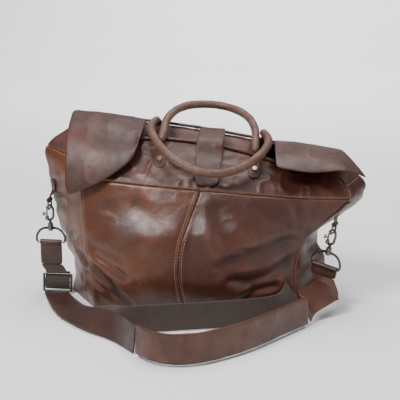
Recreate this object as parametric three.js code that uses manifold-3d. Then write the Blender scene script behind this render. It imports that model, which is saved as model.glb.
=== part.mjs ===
// Leather weekender bag: slumped body of sewn panels, two rolled handles, three closing flaps,
// a zip in the mouth, two snap hooks and a doubled shoulder strap lying in front of the bag.
// Millimetres, +Z up, front faces -Y, origin at the centre of the base on the floor.
import * as THREE from 'three';
import { mergeVertices } from 'three/addons/utils/BufferGeometryUtils.js';
import Module from 'manifold-3d';

// ---------------------------------------------------------------- overall sizes
const BASE_LENGTH = 456; // ear to ear along the floor
const BASE_DEPTH = 210; // front to back along the floor
const BODY_HEIGHT = 283; // floor to the middle of the rear rim
const PANEL_BULGE = 24; // how far the front and back panels swell past the base

// ---------------------------------------------------------------- leather and gaps
const LEATHER = 3.2; // lined panel
const FLAP_LEATHER = 2.8; // closing flaps
const CHAPE_LEATHER = 2.6; // handle tabs
const SEAM_GAP = 0.5; // between panels that are sewn together
const SKIN_GAP = 0.6; // between a piece and the panel it lies on
const BASE_THICK = 3; // bottom leather
const BASE_INSET = 2; // bottom leather to the lean of the walls
const BOARD_THICK = 3; // stiffener inside the bottom
const BOARD_INSET = 6; // stiffener edge to wall

// ---------------------------------------------------------------- mouth
const RIM_SLOPE = 0.116; // fall of the mouth line towards the right
const WELT_RADIUS = 2.4; // doubled edge along each rim
const TAPE_THICK = 1.4;
const TAPE_DROP = 48; // zip below the rear rim
const TAPE_TO_WALL = 2.5;
const ZIP_GAP = 30; // open width between the two rows of teeth
const ZIP_LENGTH = 280;
const TOOTH_PITCH = 12;
const TOOTH_LENGTH = 3.4;
const TOOTH_HEIGHT = 3.6;
const ZIP_CLEARANCE = 0.45;
const SLIDER_LENGTH = 13;
const PULLER_LENGTH = 26;
const PULLER_WIDTH = 9;

// ---------------------------------------------------------------- handles
const HANDLE_RADIUS = 6.8;
const HANDLE_ARCH = 8; // how far the bow of a handle bends away from its flat plane
const HANDLE_GAP = 0.5; // tube end to the neck of its tab
const REAR_HANDLE_REACH = 122;
const REAR_HANDLE_SPREAD = 7.5; // shoulders wider than its feet, on each side
const REAR_HANDLE_SKEW = 9; // sideways lie of the flopped handle
const FRONT_HANDLE_REACH = 113;
const FRONT_HANDLE_FOOT = 75; // half spacing of its feet
const HANDLE_PASS = -0.6; // room between the feet side by side, as one stands higher than the other
const REAR_HANDLE_FOOT = FRONT_HANDLE_FOOT + 2 * HANDLE_RADIUS + HANDLE_PASS;
const REAR_HANDLE_WIDE = REAR_HANDLE_FOOT + REAR_HANDLE_SPREAD;
const RIVET_RADIUS = 4;
const RIVET_HEIGHT = 1.6;

// ---------------------------------------------------------------- flaps
const TAB_WIDTH = 43;

// ---------------------------------------------------------------- hardware and strap
const WIRE_RADIUS = 2.1; // hooks, rings and loops
const HOOK_LENGTH = 31;
const HOOK_WIDTH = 13;
const RING_WIDTH = 20;
const RING_HEIGHT = 15;
const KNOB_RADIUS = 3.4;
const BOLT_RADIUS = 1.5;
const STRAP_WIDTH = 42;
const WEBBING_THICK = 2.2;
const PAD_THICK = 4.5;
const STRAP_FLOOR_GAP = 0.6;
const LOOP_CLEARANCE = 0.5;

// ---------------------------------------------------------------- colours
const LEATHER_BROWN = 0x5f3a2d;
const LEATHER_TAN = 0x70462f;
const LEATHER_DARK = 0x4a2e28;
const HANDLE_TAN = 0x8a6a58;
const WEBBING_BROWN = 0x372a23;
const METAL_BLACK = 0x25221f;
const METAL_BRASS = 0xb08d57;

const half = BASE_LENGTH / 2;
const depth = BASE_DEPTH / 2;
const v3 = (x, y, z) => new THREE.Vector3(x, y, z);
const mix = (a, b, k) => a + (b - a) * k;
const clamp = (x, a, b) => Math.min(b, Math.max(a, x));
const bag = new THREE.Group();

// ================================================================ mesh helpers

// Adds one named closed piece to the bag.
function piece(name, geometry, colour, roughness = 0.45, metalness = 0, parent = bag) {
  const material = new THREE.MeshStandardMaterial({ color: colour, roughness, metalness });
  const mesh = new THREE.Mesh(geometry, material);
  mesh.name = name;
  parent.add(mesh);
  return mesh;
}

// Makes a geometry from points and triangles, turned so that its faces look outwards.
function closed(points, triangles) {
  let volume = 0;
  for (let i = 0; i < triangles.length; i += 3) {
    const [a, b, c] = [points[triangles[i]], points[triangles[i + 1]], points[triangles[i + 2]]];
    volume += a.dot(b.clone().cross(c));
  }
  const index = volume < 0 ? triangles.slice().reverse() : triangles;
  const geometry = new THREE.BufferGeometry();
  const flat = points.flatMap((p) => [p.x, p.y, p.z]);
  geometry.setAttribute('position', new THREE.Float32BufferAttribute(flat, 3));
  geometry.setIndex(index);
  geometry.computeVertexNormals();
  return geometry;
}

// Closed leaf between two grids of points of the same size.
function slab(outer, inner) {
  const rows = outer.length;
  const cols = outer[0].length;
  const points = [...outer.flat(), ...inner.flat()];
  const top = (j, i) => j * cols + i;
  const low = (j, i) => rows * cols + j * cols + i;
  const triangles = [];
  const quad = (a, b, c, d) => triangles.push(a, b, c, a, c, d);
  for (let j = 0; j < rows - 1; j++) {
    for (let i = 0; i < cols - 1; i++) {
      quad(top(j, i), top(j, i + 1), top(j + 1, i + 1), top(j + 1, i));
      quad(low(j, i), low(j + 1, i), low(j + 1, i + 1), low(j, i + 1));
    }
  }
  for (let i = 0; i < cols - 1; i++) {
    quad(top(0, i), low(0, i), low(0, i + 1), top(0, i + 1));
    quad(top(rows - 1, i), top(rows - 1, i + 1), low(rows - 1, i + 1), low(rows - 1, i));
  }
  for (let j = 0; j < rows - 1; j++) {
    quad(top(j, 0), top(j + 1, 0), low(j + 1, 0), low(j, 0));
    quad(top(j, cols - 1), low(j, cols - 1), low(j + 1, cols - 1), top(j + 1, cols - 1));
  }
  return closed(points, triangles);
}

// Closed body through a row of rings with the same number of points, capped at both ends.
function loft(rings) {
  const n = rings[0].length;
  const points = rings.flat();
  const triangles = [];
  for (let k = 0; k < rings.length - 1; k++) {
    for (let i = 0; i < n; i++) {
      const a = k * n + i;
      const b = k * n + ((i + 1) % n);
      triangles.push(a, b, b + n, a, b + n, a + n);
    }
  }
  const last = (rings.length - 1) * n;
  for (let i = 1; i < n - 1; i++) {
    triangles.push(0, i + 1, i);
    triangles.push(last, last + i, last + i + 1);
  }
  return closed(points, triangles);
}

// Closed ring-shaped body: rings that return to the first one.
function loop(rings) {
  const n = rings[0].length;
  const m = rings.length;
  const triangles = [];
  for (let k = 0; k < m; k++) {
    for (let i = 0; i < n; i++) {
      const a = k * n + i;
      const b = k * n + ((i + 1) % n);
      const c = ((k + 1) % m) * n + ((i + 1) % n);
      const d = ((k + 1) % m) * n + i;
      triangles.push(a, b, c, a, c, d);
    }
  }
  return closed(rings.flat(), triangles);
}

// Round bar along a path; round ends are half spheres about the end points when domed is set.
function bar(path, radius, sides = 10, domed = false, around = false) {
  const count = path.length;
  const at = (k) => path[around ? (k + count) % count : clamp(k, 0, count - 1)];
  const rings = [];
  let side = null;
  for (let k = 0; k < count; k++) {
    const along = at(k + 1).clone().sub(at(k - 1)).normalize();
    if (!side) side = Math.abs(along.z) < 0.9 ? v3(0, 0, 1) : v3(0, 1, 0);
    side = side.clone().sub(along.clone().multiplyScalar(side.dot(along))).normalize();
    const other = along.clone().cross(side);
    const ring = (centre, r) => {
      const points = [];
      for (let i = 0; i < sides; i++) {
        const a = (i / sides) * Math.PI * 2;
        const p = centre.clone();
        p.addScaledVector(side, Math.cos(a) * r).addScaledVector(other, Math.sin(a) * r);
        points.push(p);
      }
      return points;
    };
    if (domed && k === 0) {
      for (const a of [72, 36]) {
        const t = (a * Math.PI) / 180;
        rings.push(ring(at(k).clone().addScaledVector(along, -Math.sin(t) * radius), Math.cos(t) * radius));
      }
    }
    rings.push(ring(at(k).clone(), radius));
    if (domed && k === count - 1) {
      for (const a of [36, 72]) {
        const t = (a * Math.PI) / 180;
        rings.push(ring(at(k).clone().addScaledVector(along, Math.sin(t) * radius), Math.cos(t) * radius));
      }
    }
  }
  return around ? loop(rings) : loft(rings);
}

// Smooth run through a few points.
function smooth(points, count) {
  return new THREE.CatmullRomCurve3(points, false, 'centripetal').getPoints(count);
}

// Smooth value through evenly spaced numbers, k from 0 to list.length - 1.
function along(list, k) {
  const last = list.length - 1;
  const i = clamp(Math.floor(k), 0, last - 1);
  const f = k - i;
  const [a, b, c, d] = [list[Math.max(i - 1, 0)], list[i], list[i + 1], list[Math.min(i + 2, last)]];
  return 0.5 * (2 * b + (c - a) * f + (2 * a - 5 * b + 4 * c - d) * f * f + (3 * b - a - 3 * c + d) * f * f * f);
}

const wasm = await Module();
wasm.setup();

function toSolid(geometry) {
  let g = geometry.clone();
  g.deleteAttribute('normal');
  g.deleteAttribute('uv');
  g = mergeVertices(g, 1e-4);
  return new wasm.Manifold(new wasm.Mesh({
    numProp: 3,
    vertProperties: Float32Array.from(g.attributes.position.array),
    triVerts: Uint32Array.from(g.index.array),
  }));
}

function toGeometry(solid) {
  const mesh = solid.getMesh();
  const g = new THREE.BufferGeometry();
  g.setAttribute('position', new THREE.Float32BufferAttribute(Array.from(mesh.vertProperties), 3));
  g.setIndex(Array.from(mesh.triVerts));
  g.computeVertexNormals();
  return g;
}

function join(geometries) {
  return toGeometry(geometries.map(toSolid).reduce((a, b) => a.add(b)));
}

function cut(geometry, tools) {
  return toGeometry(tools.map(toSolid).reduce((a, b) => a.subtract(b), toSolid(geometry)));
}

function box(cx, cy, cz, sx, sy, sz) {
  return new THREE.BoxGeometry(sx, sy, sz).translate(cx, cy, cz);
}

// Cylinder from one point to another.
function rod(a, b, radius, sides = 10) {
  const g = new THREE.CylinderGeometry(radius, radius, a.distanceTo(b), sides);
  const turn = new THREE.Quaternion().setFromUnitVectors(v3(0, 1, 0), b.clone().sub(a).normalize());
  g.applyQuaternion(turn);
  const middle = a.clone().add(b).multiplyScalar(0.5);
  return g.translate(middle.x, middle.y, middle.z);
}

// ================================================================ shape of the body
// Eight stations run up the body: 0 is the floor, 5 the yoke seam, 6 the gusset points, 7 the rim.
// x is a share of the half length, y of the half depth, z of the body height.
const SEAM = 5;
const POINT = 6;
const RIM = 7;
const STATIONS = {
  frontLeft: {
    x: [-0.73, -0.75, -0.77, -0.8, -0.82, -0.84, -0.83, -0.8],
    y: [-0.9, -0.95, -0.94, -0.87, -0.78, -0.68, -0.47, -0.28],
    z: [0, 0.14, 0.28, 0.44, 0.59, 0.745, 0.82, 0.897],
  },
  frontRight: {
    x: [0.73, 0.68, 0.67, 0.74, 0.88, 1.03, 1.0, 0.92],
    y: [-0.76, -0.7, -0.62, -0.6, -0.56, -0.42, -0.3, -0.15],
    z: [0, 0.14, 0.28, 0.42, 0.53, 0.645, 0.71, 0.775],
  },
  backRight: {
    x: [0.73, 0.72, 0.73, 0.78, 0.88, 1.0, 0.98, 0.9],
    y: [0.78, 0.78, 0.72, 0.66, 0.58, 0.46, 0.32, 0.16],
    z: [0, 0.14, 0.28, 0.42, 0.54, 0.655, 0.75, 0.83],
  },
  backLeft: {
    x: [-0.73, -0.75, -0.77, -0.8, -0.82, -0.84, -0.84, -0.84],
    y: [0.86, 0.89, 0.86, 0.78, 0.69, 0.59, 0.4, 0.22],
    z: [0, 0.14, 0.28, 0.44, 0.59, 0.75, 0.9, 1.035],
  },
  leftCrease: {
    x: [-1.0, -0.97, -1.025, -1.095, -1.12, -1.15, -1.16, -0.96],
    y: [0, 0, 0, 0, 0, 0, 0, 0],
    z: [0, 0.14, 0.28, 0.44, 0.58, 0.74, 0.88, 1.0],
  },
  rightCrease: {
    x: [0.985, 0.93, 0.86, 0.815, 1.0, 1.135, 1.1, 0.98],
    y: [0, 0, 0, 0, 0, 0, 0, 0],
    z: [0, 0.14, 0.28, 0.42, 0.525, 0.65, 0.75, 0.85],
  },
  // swell of the panels between their corners, and height of the rim between its ends
  frontBulge: [0.19, 0.38, 0.47, 0.46, 0.36, 0.3, 0.2, 0.03],
  backBulge: [0.19, 0.3, 0.36, 0.37, 0.36, 0.3, 0.2, 0.02],
  frontRise: [0, 0, 0, 0, 0, 0.01, 0.05, 0.085],
  backRise: [0, 0, 0, 0, 0, 0.0, 0.02, 0.04],
};
const bulgeScale = PANEL_BULGE / 24;

function station(name, t) {
  const s = STATIONS[name];
  return v3(along(s.x, t) * half, along(s.y, t) * depth, along(s.z, t) * BODY_HEIGHT);
}

// Front and back runs, s from 0 at the left seam to 1 at the right seam.
function frontRun(s, t) {
  const a = station('frontLeft', t);
  const b = station('frontRight', t);
  const p = a.lerp(b, s);
  const arch = 1 - Math.abs(2 * s - 1) ** 2.3;
  p.y -= along(STATIONS.frontBulge, t) * depth * arch * bulgeScale;
  const hump = Math.max(0, 1 - ((s - 0.38) / 0.42) ** 2);
  p.z += along(STATIONS.frontRise, t) * BODY_HEIGHT * hump;
  return p;
}

function backRun(s, t) {
  const a = station('backLeft', t);
  const b = station('backRight', t);
  const p = a.lerp(b, s);
  const arch = 1 - Math.abs(2 * s - 1) ** 2.3;
  p.y += along(STATIONS.backBulge, t) * depth * arch * bulgeScale;
  p.z += along(STATIONS.backRise, t) * BODY_HEIGHT * (1 - (2 * s - 1) ** 2);
  return p;
}

// Whole loop around the body, u from 0 to 4: front, right gusset, back, left gusset.
function bodyPoint(u, t) {
  const w = ((u % 4) + 4) % 4;
  if (w < 1) return frontRun(w, t);
  if (w < 2) {
    const k = w - 1;
    const [a, b] = k < 0.5 ? ['frontRight', 'rightCrease'] : ['rightCrease', 'backRight'];
    return gussetPoint(a, b, k < 0.5 ? k * 2 : k * 2 - 1, t);
  }
  if (w < 3) return backRun(3 - w, t);
  const k = w - 3;
  const [a, b] = k < 0.5 ? ['backLeft', 'leftCrease'] : ['leftCrease', 'frontLeft'];
  return gussetPoint(a, b, k < 0.5 ? k * 2 : k * 2 - 1, t);
}

function gussetPoint(a, b, k, t) {
  return station(a, t).lerp(station(b, t), k);
}

// Outward direction of the body wall.
function bodyNormal(u, t) {
  const e = 0.02;
  const du = bodyPoint(u + e, t).sub(bodyPoint(u - e, t));
  const low = Math.max(t - 0.15, 0);
  const high = Math.min(t + 0.15, RIM);
  const dt = bodyPoint(u, high).sub(bodyPoint(u, low));
  return du.cross(dt).normalize();
}

// Point of the wall, moved outwards by off; walls are mitred at the corner seams.
function wall(u, t, off) {
  const e = 0.02;
  const a = bodyNormal(u - e, t);
  const b = bodyNormal(u + e, t);
  const n = a.clone().add(b).normalize();
  if (t < 0.01) n.setZ(0).normalize();
  const reach = 1 / Math.max(0.55, n.dot(a));
  return bodyPoint(u, t).addScaledVector(n, off * reach);
}

// Sewn panel of the wall between two places of the loop and two heights.
function panel(u0, u1, t0, t1, cols, rows, thick = LEATHER) {
  const width = bodyPoint(u0, (t0 + t1) / 2).distanceTo(bodyPoint(mix(u0, u1, 0.1), (t0 + t1) / 2)) * 10;
  const height = bodyPoint((u0 + u1) / 2, t0).distanceTo(bodyPoint((u0 + u1) / 2, t1));
  const trimU = (SEAM_GAP * (u1 - u0)) / Math.max(width, 20);
  const trimT = (SEAM_GAP * (t1 - t0)) / height;
  const uMin = u0 + trimU;
  const uMax = u1 - trimU;
  const tMin = t0 > 0 ? t0 + trimT : 0;
  const tMax = t1 - trimT;
  const outer = [];
  const inner = [];
  for (let j = 0; j <= rows; j++) {
    const t = mix(tMin, tMax, j / rows);
    const rowOut = [];
    const rowIn = [];
    for (let i = 0; i <= cols; i++) {
      const u = mix(uMin, uMax, i / cols);
      rowOut.push(wall(u, t, 0));
      rowIn.push(wall(u, t, -thick));
    }
    outer.push(rowOut);
    inner.push(rowIn);
  }
  return slab(outer, inner);
}

// Place on the front or back run with the given x and z.
function findWall(run, x, z) {
  let s = 0.5;
  let t = POINT;
  for (let k = 0; k < 8; k++) {
    let [low, high] = [0, 1];
    for (let i = 0; i < 18; i++) {
      s = (low + high) / 2;
      if (run(s, t).x < x) low = s;
      else high = s;
    }
    [low, high] = [SEAM - 2, RIM];
    for (let i = 0; i < 18; i++) {
      t = (low + high) / 2;
      if (run(s, t).z < z) low = t;
      else high = t;
    }
  }
  return [s, t];
}

function runNormal(run, s, t) {
  const e = 0.02;
  const ds = run(Math.min(s + e, 1), t).sub(run(Math.max(s - e, 0), t));
  const dt = run(s, Math.min(t + 0.2, RIM)).sub(run(s, Math.max(t - 0.2, 0)));
  const n = ds.cross(dt).normalize();
  return run === frontRun ? n : n.negate();
}

function onWall(run, x, z, off) {
  const [s, t] = findWall(run, x, z);
  return run(s, t).addScaledVector(runNormal(run, s, t), off);
}

const rimFront = (x) => frontRun(clamp((x + 0.8 * half) / (1.72 * half), 0, 1), RIM);
const rimRear = (x) => backRun(clamp((x + 0.84 * half) / (1.74 * half), 0, 1), RIM);

// ================================================================ body panels
const CENTRE_SEAM = 0.455;
piece('front_panel_left', panel(0, CENTRE_SEAM, 0, SEAM, 6, 10), LEATHER_TAN, 0.35);
piece('front_panel_right', panel(CENTRE_SEAM, 1, 0, SEAM, 8, 10), LEATHER_BROWN, 0.35);
piece('back_panel_right', panel(2, 3 - CENTRE_SEAM, 0, SEAM, 7, 10), LEATHER_BROWN, 0.4);
piece('back_panel_left', panel(3 - CENTRE_SEAM, 3, 0, SEAM, 6, 10), LEATHER_BROWN, 0.4);
piece('right_gusset', panel(1, 2, 0, POINT, 4, 12), LEATHER_BROWN, 0.45);
piece('left_gusset', panel(3, 4, 0, POINT, 4, 12), LEATHER_TAN, 0.45);
piece('right_gusset_top', panel(1, 2, POINT, RIM, 4, 2), LEATHER_DARK, 0.45);
piece('left_gusset_top', panel(3, 4, POINT, RIM, 4, 2), LEATHER_DARK, 0.45);
piece('front_yoke', panel(0, 1, SEAM, RIM, 16, 4), LEATHER_BROWN, 0.4);
piece('rear_yoke', panel(2, 3, SEAM, RIM, 16, 4), LEATHER_BROWN, 0.4);

// Bottom leather and its stiffener fill the loop of the walls.
function bottomPlate(inset, z, thick) {
  const ring = [];
  const steps = 12;
  for (const [u0, u1] of [[0, 1], [1, 1.5], [1.5, 2], [2, 3], [3, 3.5], [3.5, 4]]) {
    const n = u1 - u0 === 1 ? steps : 3;
    for (let i = 0; i < n; i++) ring.push(wall(mix(u0, u1, i / n), 0, -LEATHER - inset));
  }
  const at = (h) => ring.map((p) => v3(p.x, p.y, h));
  return loft([at(z), at(z + thick)]);
}
piece('base_panel', bottomPlate(BASE_INSET, 0, BASE_THICK), LEATHER_DARK, 0.6);
piece('base_board', bottomPlate(BOARD_INSET, BASE_THICK + 0.4, BOARD_THICK), 0x2a2420, 0.8);

// Doubled edges along the two rims.
function welt(rim, xLeft, xRight) {
  const path = [];
  const count = 18;
  for (let i = 0; i <= count; i++) {
    const p = rim(mix(xLeft, xRight, i / count));
    path.push(v3(p.x, p.y + (rim === rimFront ? 1 : -1) * LEATHER / 2, p.z + WELT_RADIUS + SKIN_GAP));
  }
  return bar(path, WELT_RADIUS, 8);
}
piece('front_rim', welt(rimFront, -0.78 * half, 0.9 * half), LEATHER_DARK, 0.4);
piece('rear_rim', welt(rimRear, -0.82 * half, 0.88 * half), LEATHER_DARK, 0.4);

// ================================================================ zip in the mouth
// The zip lies on a straight line below the rims, so that its slider can run along it.
const zipSlope = Math.atan(RIM_SLOPE);
const zipCentre = v3(4, -4, rimRear(4).z - TAPE_DROP);
const onZip = (x) => zipCentre.z - RIM_SLOPE * (x - zipCentre.x);

// One tape: straight along its teeth, and shaped to the wall that it is sewn to.
function tape(run, sign) {
  const edge = zipCentre.y + (sign * ZIP_GAP) / 2;
  const reach = (ZIP_LENGTH / 2) * Math.cos(zipSlope);
  const outer = [];
  const inner = [];
  const steps = 14;
  for (let i = 0; i <= steps; i++) {
    const x = zipCentre.x + mix(-reach, reach, i / steps);
    const z = onZip(x);
    const [s, t] = findWall(run, x, z);
    const slant = Math.abs(runNormal(run, s, t).y);
    const far = run(s, t).y - (sign * (LEATHER + TAPE_TO_WALL)) / slant;
    outer.push([v3(x, edge, z + TAPE_THICK), v3(x, far, z + TAPE_THICK)]);
    inner.push([v3(x, edge, z), v3(x, far, z)]);
  }
  const parts = [slab(outer, inner)];
  const count = Math.floor(ZIP_LENGTH / TOOTH_PITCH);
  const cord = box(0, 0, 0, ZIP_LENGTH - 1, 1.6, TOOTH_HEIGHT * 0.7);
  const teeth = [cord.translate(0, 0, 0)];
  for (let k = 0; k < count; k++) {
    const x = (k - (count - 1) / 2) * TOOTH_PITCH;
    teeth.push(box(x, -sign * TOOTH_LENGTH * 0.25, 0, TOOTH_PITCH * 0.55, TOOTH_LENGTH, TOOTH_HEIGHT));
  }
  for (const g of teeth) g.rotateY(zipSlope).translate(zipCentre.x, edge, zipCentre.z + TAPE_THICK / 2);
  return join([...parts, ...teeth]);
}
piece('zip_tape_front', tape(frontRun, -1), 0x2b2320, 0.7);
piece('zip_tape_rear', tape(backRun, 1), 0x2b2320, 0.7);

// Slider on the rear row of teeth, parked at the right end of the zip.
const sliderX = ZIP_LENGTH / 2 - SLIDER_LENGTH;
const sliderHalf = TOOTH_HEIGHT / 2 + ZIP_CLEARANCE;
const SLIDER_PLATE = 1.3;
function placeOnZip(geometry) {
  const edge = zipCentre.y + ZIP_GAP / 2;
  return geometry.rotateY(zipSlope).translate(zipCentre.x, edge, zipCentre.z + TAPE_THICK / 2);
}
const postY = -TOOTH_LENGTH * 0.75 - ZIP_CLEARANCE - 1.2;
const sliderPlates = [1, -1].map((side) =>
  box(sliderX, -3, side * (sliderHalf + SLIDER_PLATE / 2), SLIDER_LENGTH, 11, SLIDER_PLATE));
const sliderPost = box(sliderX, postY, 0, SLIDER_LENGTH * 0.5, 2.4, 2 * sliderHalf + 0.2);
const BRIDGE_HEIGHT = 4.2;
const bridgeBase = sliderHalf + SLIDER_PLATE;
const bridge = cut(box(sliderX, -3, bridgeBase + BRIDGE_HEIGHT / 2 - 0.1, 8, 3, BRIDGE_HEIGHT + 0.2),
  [box(sliderX, -3, bridgeBase + BRIDGE_HEIGHT / 2 - 0.4, 4.6, 6, BRIDGE_HEIGHT - 2.2)]);
piece('zip_slider', placeOnZip(join([...sliderPlates, sliderPost, bridge])), METAL_BLACK, 0.35, 0.8);

// Puller: a wire eye through the bridge with a leather tongue.
const eye = bar([
  v3(sliderX, -3 - 3.2, bridgeBase + 1.5), v3(sliderX - 3, -3 - 3.2, bridgeBase + 1.6),
  v3(sliderX - 6, -3 - 3.2, bridgeBase + 1.7), v3(sliderX - 8, -3 - 2, bridgeBase + 1.7),
  v3(sliderX - 8, -3 + 2, bridgeBase + 1.7), v3(sliderX - 6, -3 + 3.2, bridgeBase + 1.7),
  v3(sliderX - 3, -3 + 3.2, bridgeBase + 1.6), v3(sliderX, -3 + 3.2, bridgeBase + 1.5),
], 0.7, 8, false, true);
const tongue = box(sliderX - 8 - PULLER_LENGTH / 2, -3, bridgeBase + 1.8, PULLER_LENGTH, PULLER_WIDTH, 2);
piece('zip_puller', placeOnZip(join([eye, tongue])), LEATHER_DARK, 0.5);

// ================================================================ handles and their tabs
const HANDLE_TILT = 0.1; // fall of the line through the feet towards the right
const FRONT_FOOT_FORWARD = HANDLE_RADIUS + 5.2; // feet in front of the front rim
const REAR_FOOT_FORWARD = HANDLE_RADIUS + 8.2; // feet in front of the rear rim
const FRONT_FOOT_RISE = HANDLE_RADIUS - 0.8;
const REAR_FOOT_RISE = HANDLE_RADIUS + 3.2;
const FRONT_LEAN = 0.45; // rise of the front handle as it leans back
const REAR_LEAN = -0.48; // fall of the rear handle as it lies forward

const handleAxis = v3(1, 0, -HANDLE_TILT).normalize();
const frontFeet = rimFront(10).add(v3(0, -FRONT_FOOT_FORWARD, FRONT_FOOT_RISE));
const rearFeet = rimRear(7.5).add(v3(0, -REAR_FOOT_FORWARD, REAR_FOOT_RISE));

// Rolled handle: a bow between two feet, spread at its shoulders.
function handle(centre, foot, wide, reach, out, skew) {
  const shape = [
    [-foot, 0], [-mix(foot, wide, 0.8), 0.14], [-wide, 0.3], [-wide * 0.92, 0.5], [-wide * 0.75, 0.71],
    [-wide * 0.5, 0.88], [-wide * 0.25, 0.97], [0, 1],
  ];
  const mirrored = shape.slice(0, -1).reverse().map(([u, v]) => [-u, v]);
  const path = [...shape, ...mirrored].map(([u, v]) => {
    const p = centre.clone().addScaledVector(handleAxis, u + skew * v).addScaledVector(out, v * reach);
    p.z += HANDLE_ARCH * 4 * v * (1 - v);
    return p;
  });
  return bar(smooth(path, 28), HANDLE_RADIUS, 10, true);
}
const frontOut = v3(0, 1, FRONT_LEAN).normalize();
const rearOut = v3(0, -1, REAR_LEAN).normalize();
piece('front_handle', handle(
  frontFeet, FRONT_HANDLE_FOOT, FRONT_HANDLE_FOOT * 0.98, FRONT_HANDLE_REACH, frontOut, 0),
  HANDLE_TAN, 0.55);
piece('rear_handle', handle(
  rearFeet, REAR_HANDLE_FOOT, REAR_HANDLE_WIDE, REAR_HANDLE_REACH, rearOut, REAR_HANDLE_SKEW),
  HANDLE_TAN, 0.55);

// Tab of a handle: a drop-shaped leaf on the panel whose neck rises to the foot of the handle.
const TAB_DROP = 42.6; // rounded end below the foot
const TAB_HALF = 10.5;
const NECK_HALF = 5;
const NECK_CLEARANCE = 1.6; // leather of a flat neck below the foot
function frontTab(foot) {
  const rows = [];
  const outline = [[0, 0.35], [0.04, 0.72], [0.12, 0.95], [0.24, 1], [0.38, 0.9], [0.52, 0.68], [0.66, 0.5]];
  for (const [k, w] of outline) {
    const z = foot.z - TAB_DROP * (1 - k);
    rows.push({ half: w * TAB_HALF, z, on: true });
  }
  const top = foot.clone().add(v3(0, 1, -HANDLE_RADIUS - HANDLE_GAP - 0.4));
  const from = onWall(frontRun, foot.x, rows[rows.length - 1].z, SKIN_GAP);
  const turn = v3(0, from.z - top.z, top.y - from.y).normalize(); // square to the run of the neck
  top.z -= (CHAPE_LEATHER + NECK_CLEARANCE) * Math.max(0, turn.z);
  for (const k of [0.35, 0.7, 1]) {
    const p = from.clone().lerp(top, k);
    p.y = Math.min(p.y, onWall(frontRun, foot.x, p.z, 0).y - 2.5);
    rows.push({ half: NECK_HALF, at: p });
  }
  const outer = [];
  const inner = [];
  rows.forEach((row) => {
    const rowOut = [];
    const rowIn = [];
    for (let i = 0; i <= 4; i++) {
      const dx = row.half * (i / 2 - 1);
      if (row.on) {
        const z = row.z - HANDLE_TILT * dx;
        rowIn.push(onWall(frontRun, foot.x + dx, z, SKIN_GAP));
        rowOut.push(onWall(frontRun, foot.x + dx, z, SKIN_GAP + CHAPE_LEATHER));
      } else {
        const p = row.at.clone().addScaledVector(handleAxis, dx);
        rowIn.push(p);
        rowOut.push(p.clone().addScaledVector(turn, CHAPE_LEATHER));
      }
    }
    outer.push(rowOut);
    inner.push(rowIn);
  });
  return slab(outer, inner);
}

// Tab of the rear handle: its neck folds over the rear rim to the foot of the handle.
function rearTab(foot) {
  const rows = [];
  const outline = [[0, 0.35], [0.06, 0.72], [0.16, 0.95], [0.3, 1], [0.5, 0.85], [0.7, 0.6]];
  const rim = rimRear(foot.x);
  const crown = rim.z + 2 * WELT_RADIUS + 2 * SKIN_GAP;
  for (const [k, w] of outline) {
    rows.push({ half: w * TAB_HALF, z: rim.z - 8 - TAB_DROP * (1 - k), on: true });
  }
  const fold = [
    [rim.y + 6.8, -4, v3(0, 1, 0.3)],
    [rim.y + 3.4, crown - rim.z - 1.2, v3(0, 0.8, 0.8)],
    [rim.y - 1, crown - rim.z, v3(0, 0, 1)],
    [foot.y + HANDLE_RADIUS + HANDLE_GAP + 0.6, crown - rim.z - 0.4, v3(0, 0, 1)],
  ];
  for (const [y, rise, turn] of fold) rows.push({ half: NECK_HALF, at: v3(foot.x, y, rim.z + rise), turn });
  const outer = [];
  const inner = [];
  for (const row of rows) {
    const rowOut = [];
    const rowIn = [];
    for (let i = 0; i <= 4; i++) {
      const dx = row.half * (i / 2 - 1);
      if (row.on) {
        const z = row.z - HANDLE_TILT * dx;
        rowIn.push(onWall(backRun, foot.x + dx, z, SKIN_GAP));
        rowOut.push(onWall(backRun, foot.x + dx, z, SKIN_GAP + CHAPE_LEATHER));
      } else {
        const p = row.at.clone().addScaledVector(v3(1, 0, -RIM_SLOPE), dx);
        rowIn.push(p);
        rowOut.push(p.clone().addScaledVector(row.turn.clone().normalize(), CHAPE_LEATHER));
      }
    }
    outer.push(rowOut);
    inner.push(rowIn);
  }
  return slab(outer, inner);
}

function rivet(run, x, z) {
  const low = onWall(run, x, z, SKIN_GAP + CHAPE_LEATHER + 0.5);
  const high = onWall(run, x, z, SKIN_GAP + CHAPE_LEATHER + 0.5 + RIVET_HEIGHT);
  return rod(low, high, RIVET_RADIUS, 16);
}

for (const [side, sign] of [['left', -1], ['right', 1]]) {
  const front = frontFeet.clone().addScaledVector(handleAxis, sign * FRONT_HANDLE_FOOT);
  const rear = rearFeet.clone().addScaledVector(handleAxis, sign * REAR_HANDLE_FOOT);
  piece(`front_handle_tab_${side}`, frontTab(front), LEATHER_BROWN, 0.4);
  piece(`rear_handle_tab_${side}`, rearTab(rear), LEATHER_BROWN, 0.4);
  piece(`front_rivet_${side}`, rivet(frontRun, front.x, front.z - TAB_DROP * 0.74), METAL_BRASS, 0.3, 0.9);
  const rearZ = rimRear(rear.x).z - 8 - TAB_DROP * 0.7;
  piece(`rear_rivet_${side}`, rivet(backRun, rear.x, rearZ), METAL_BRASS, 0.3, 0.9);
}

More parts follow.
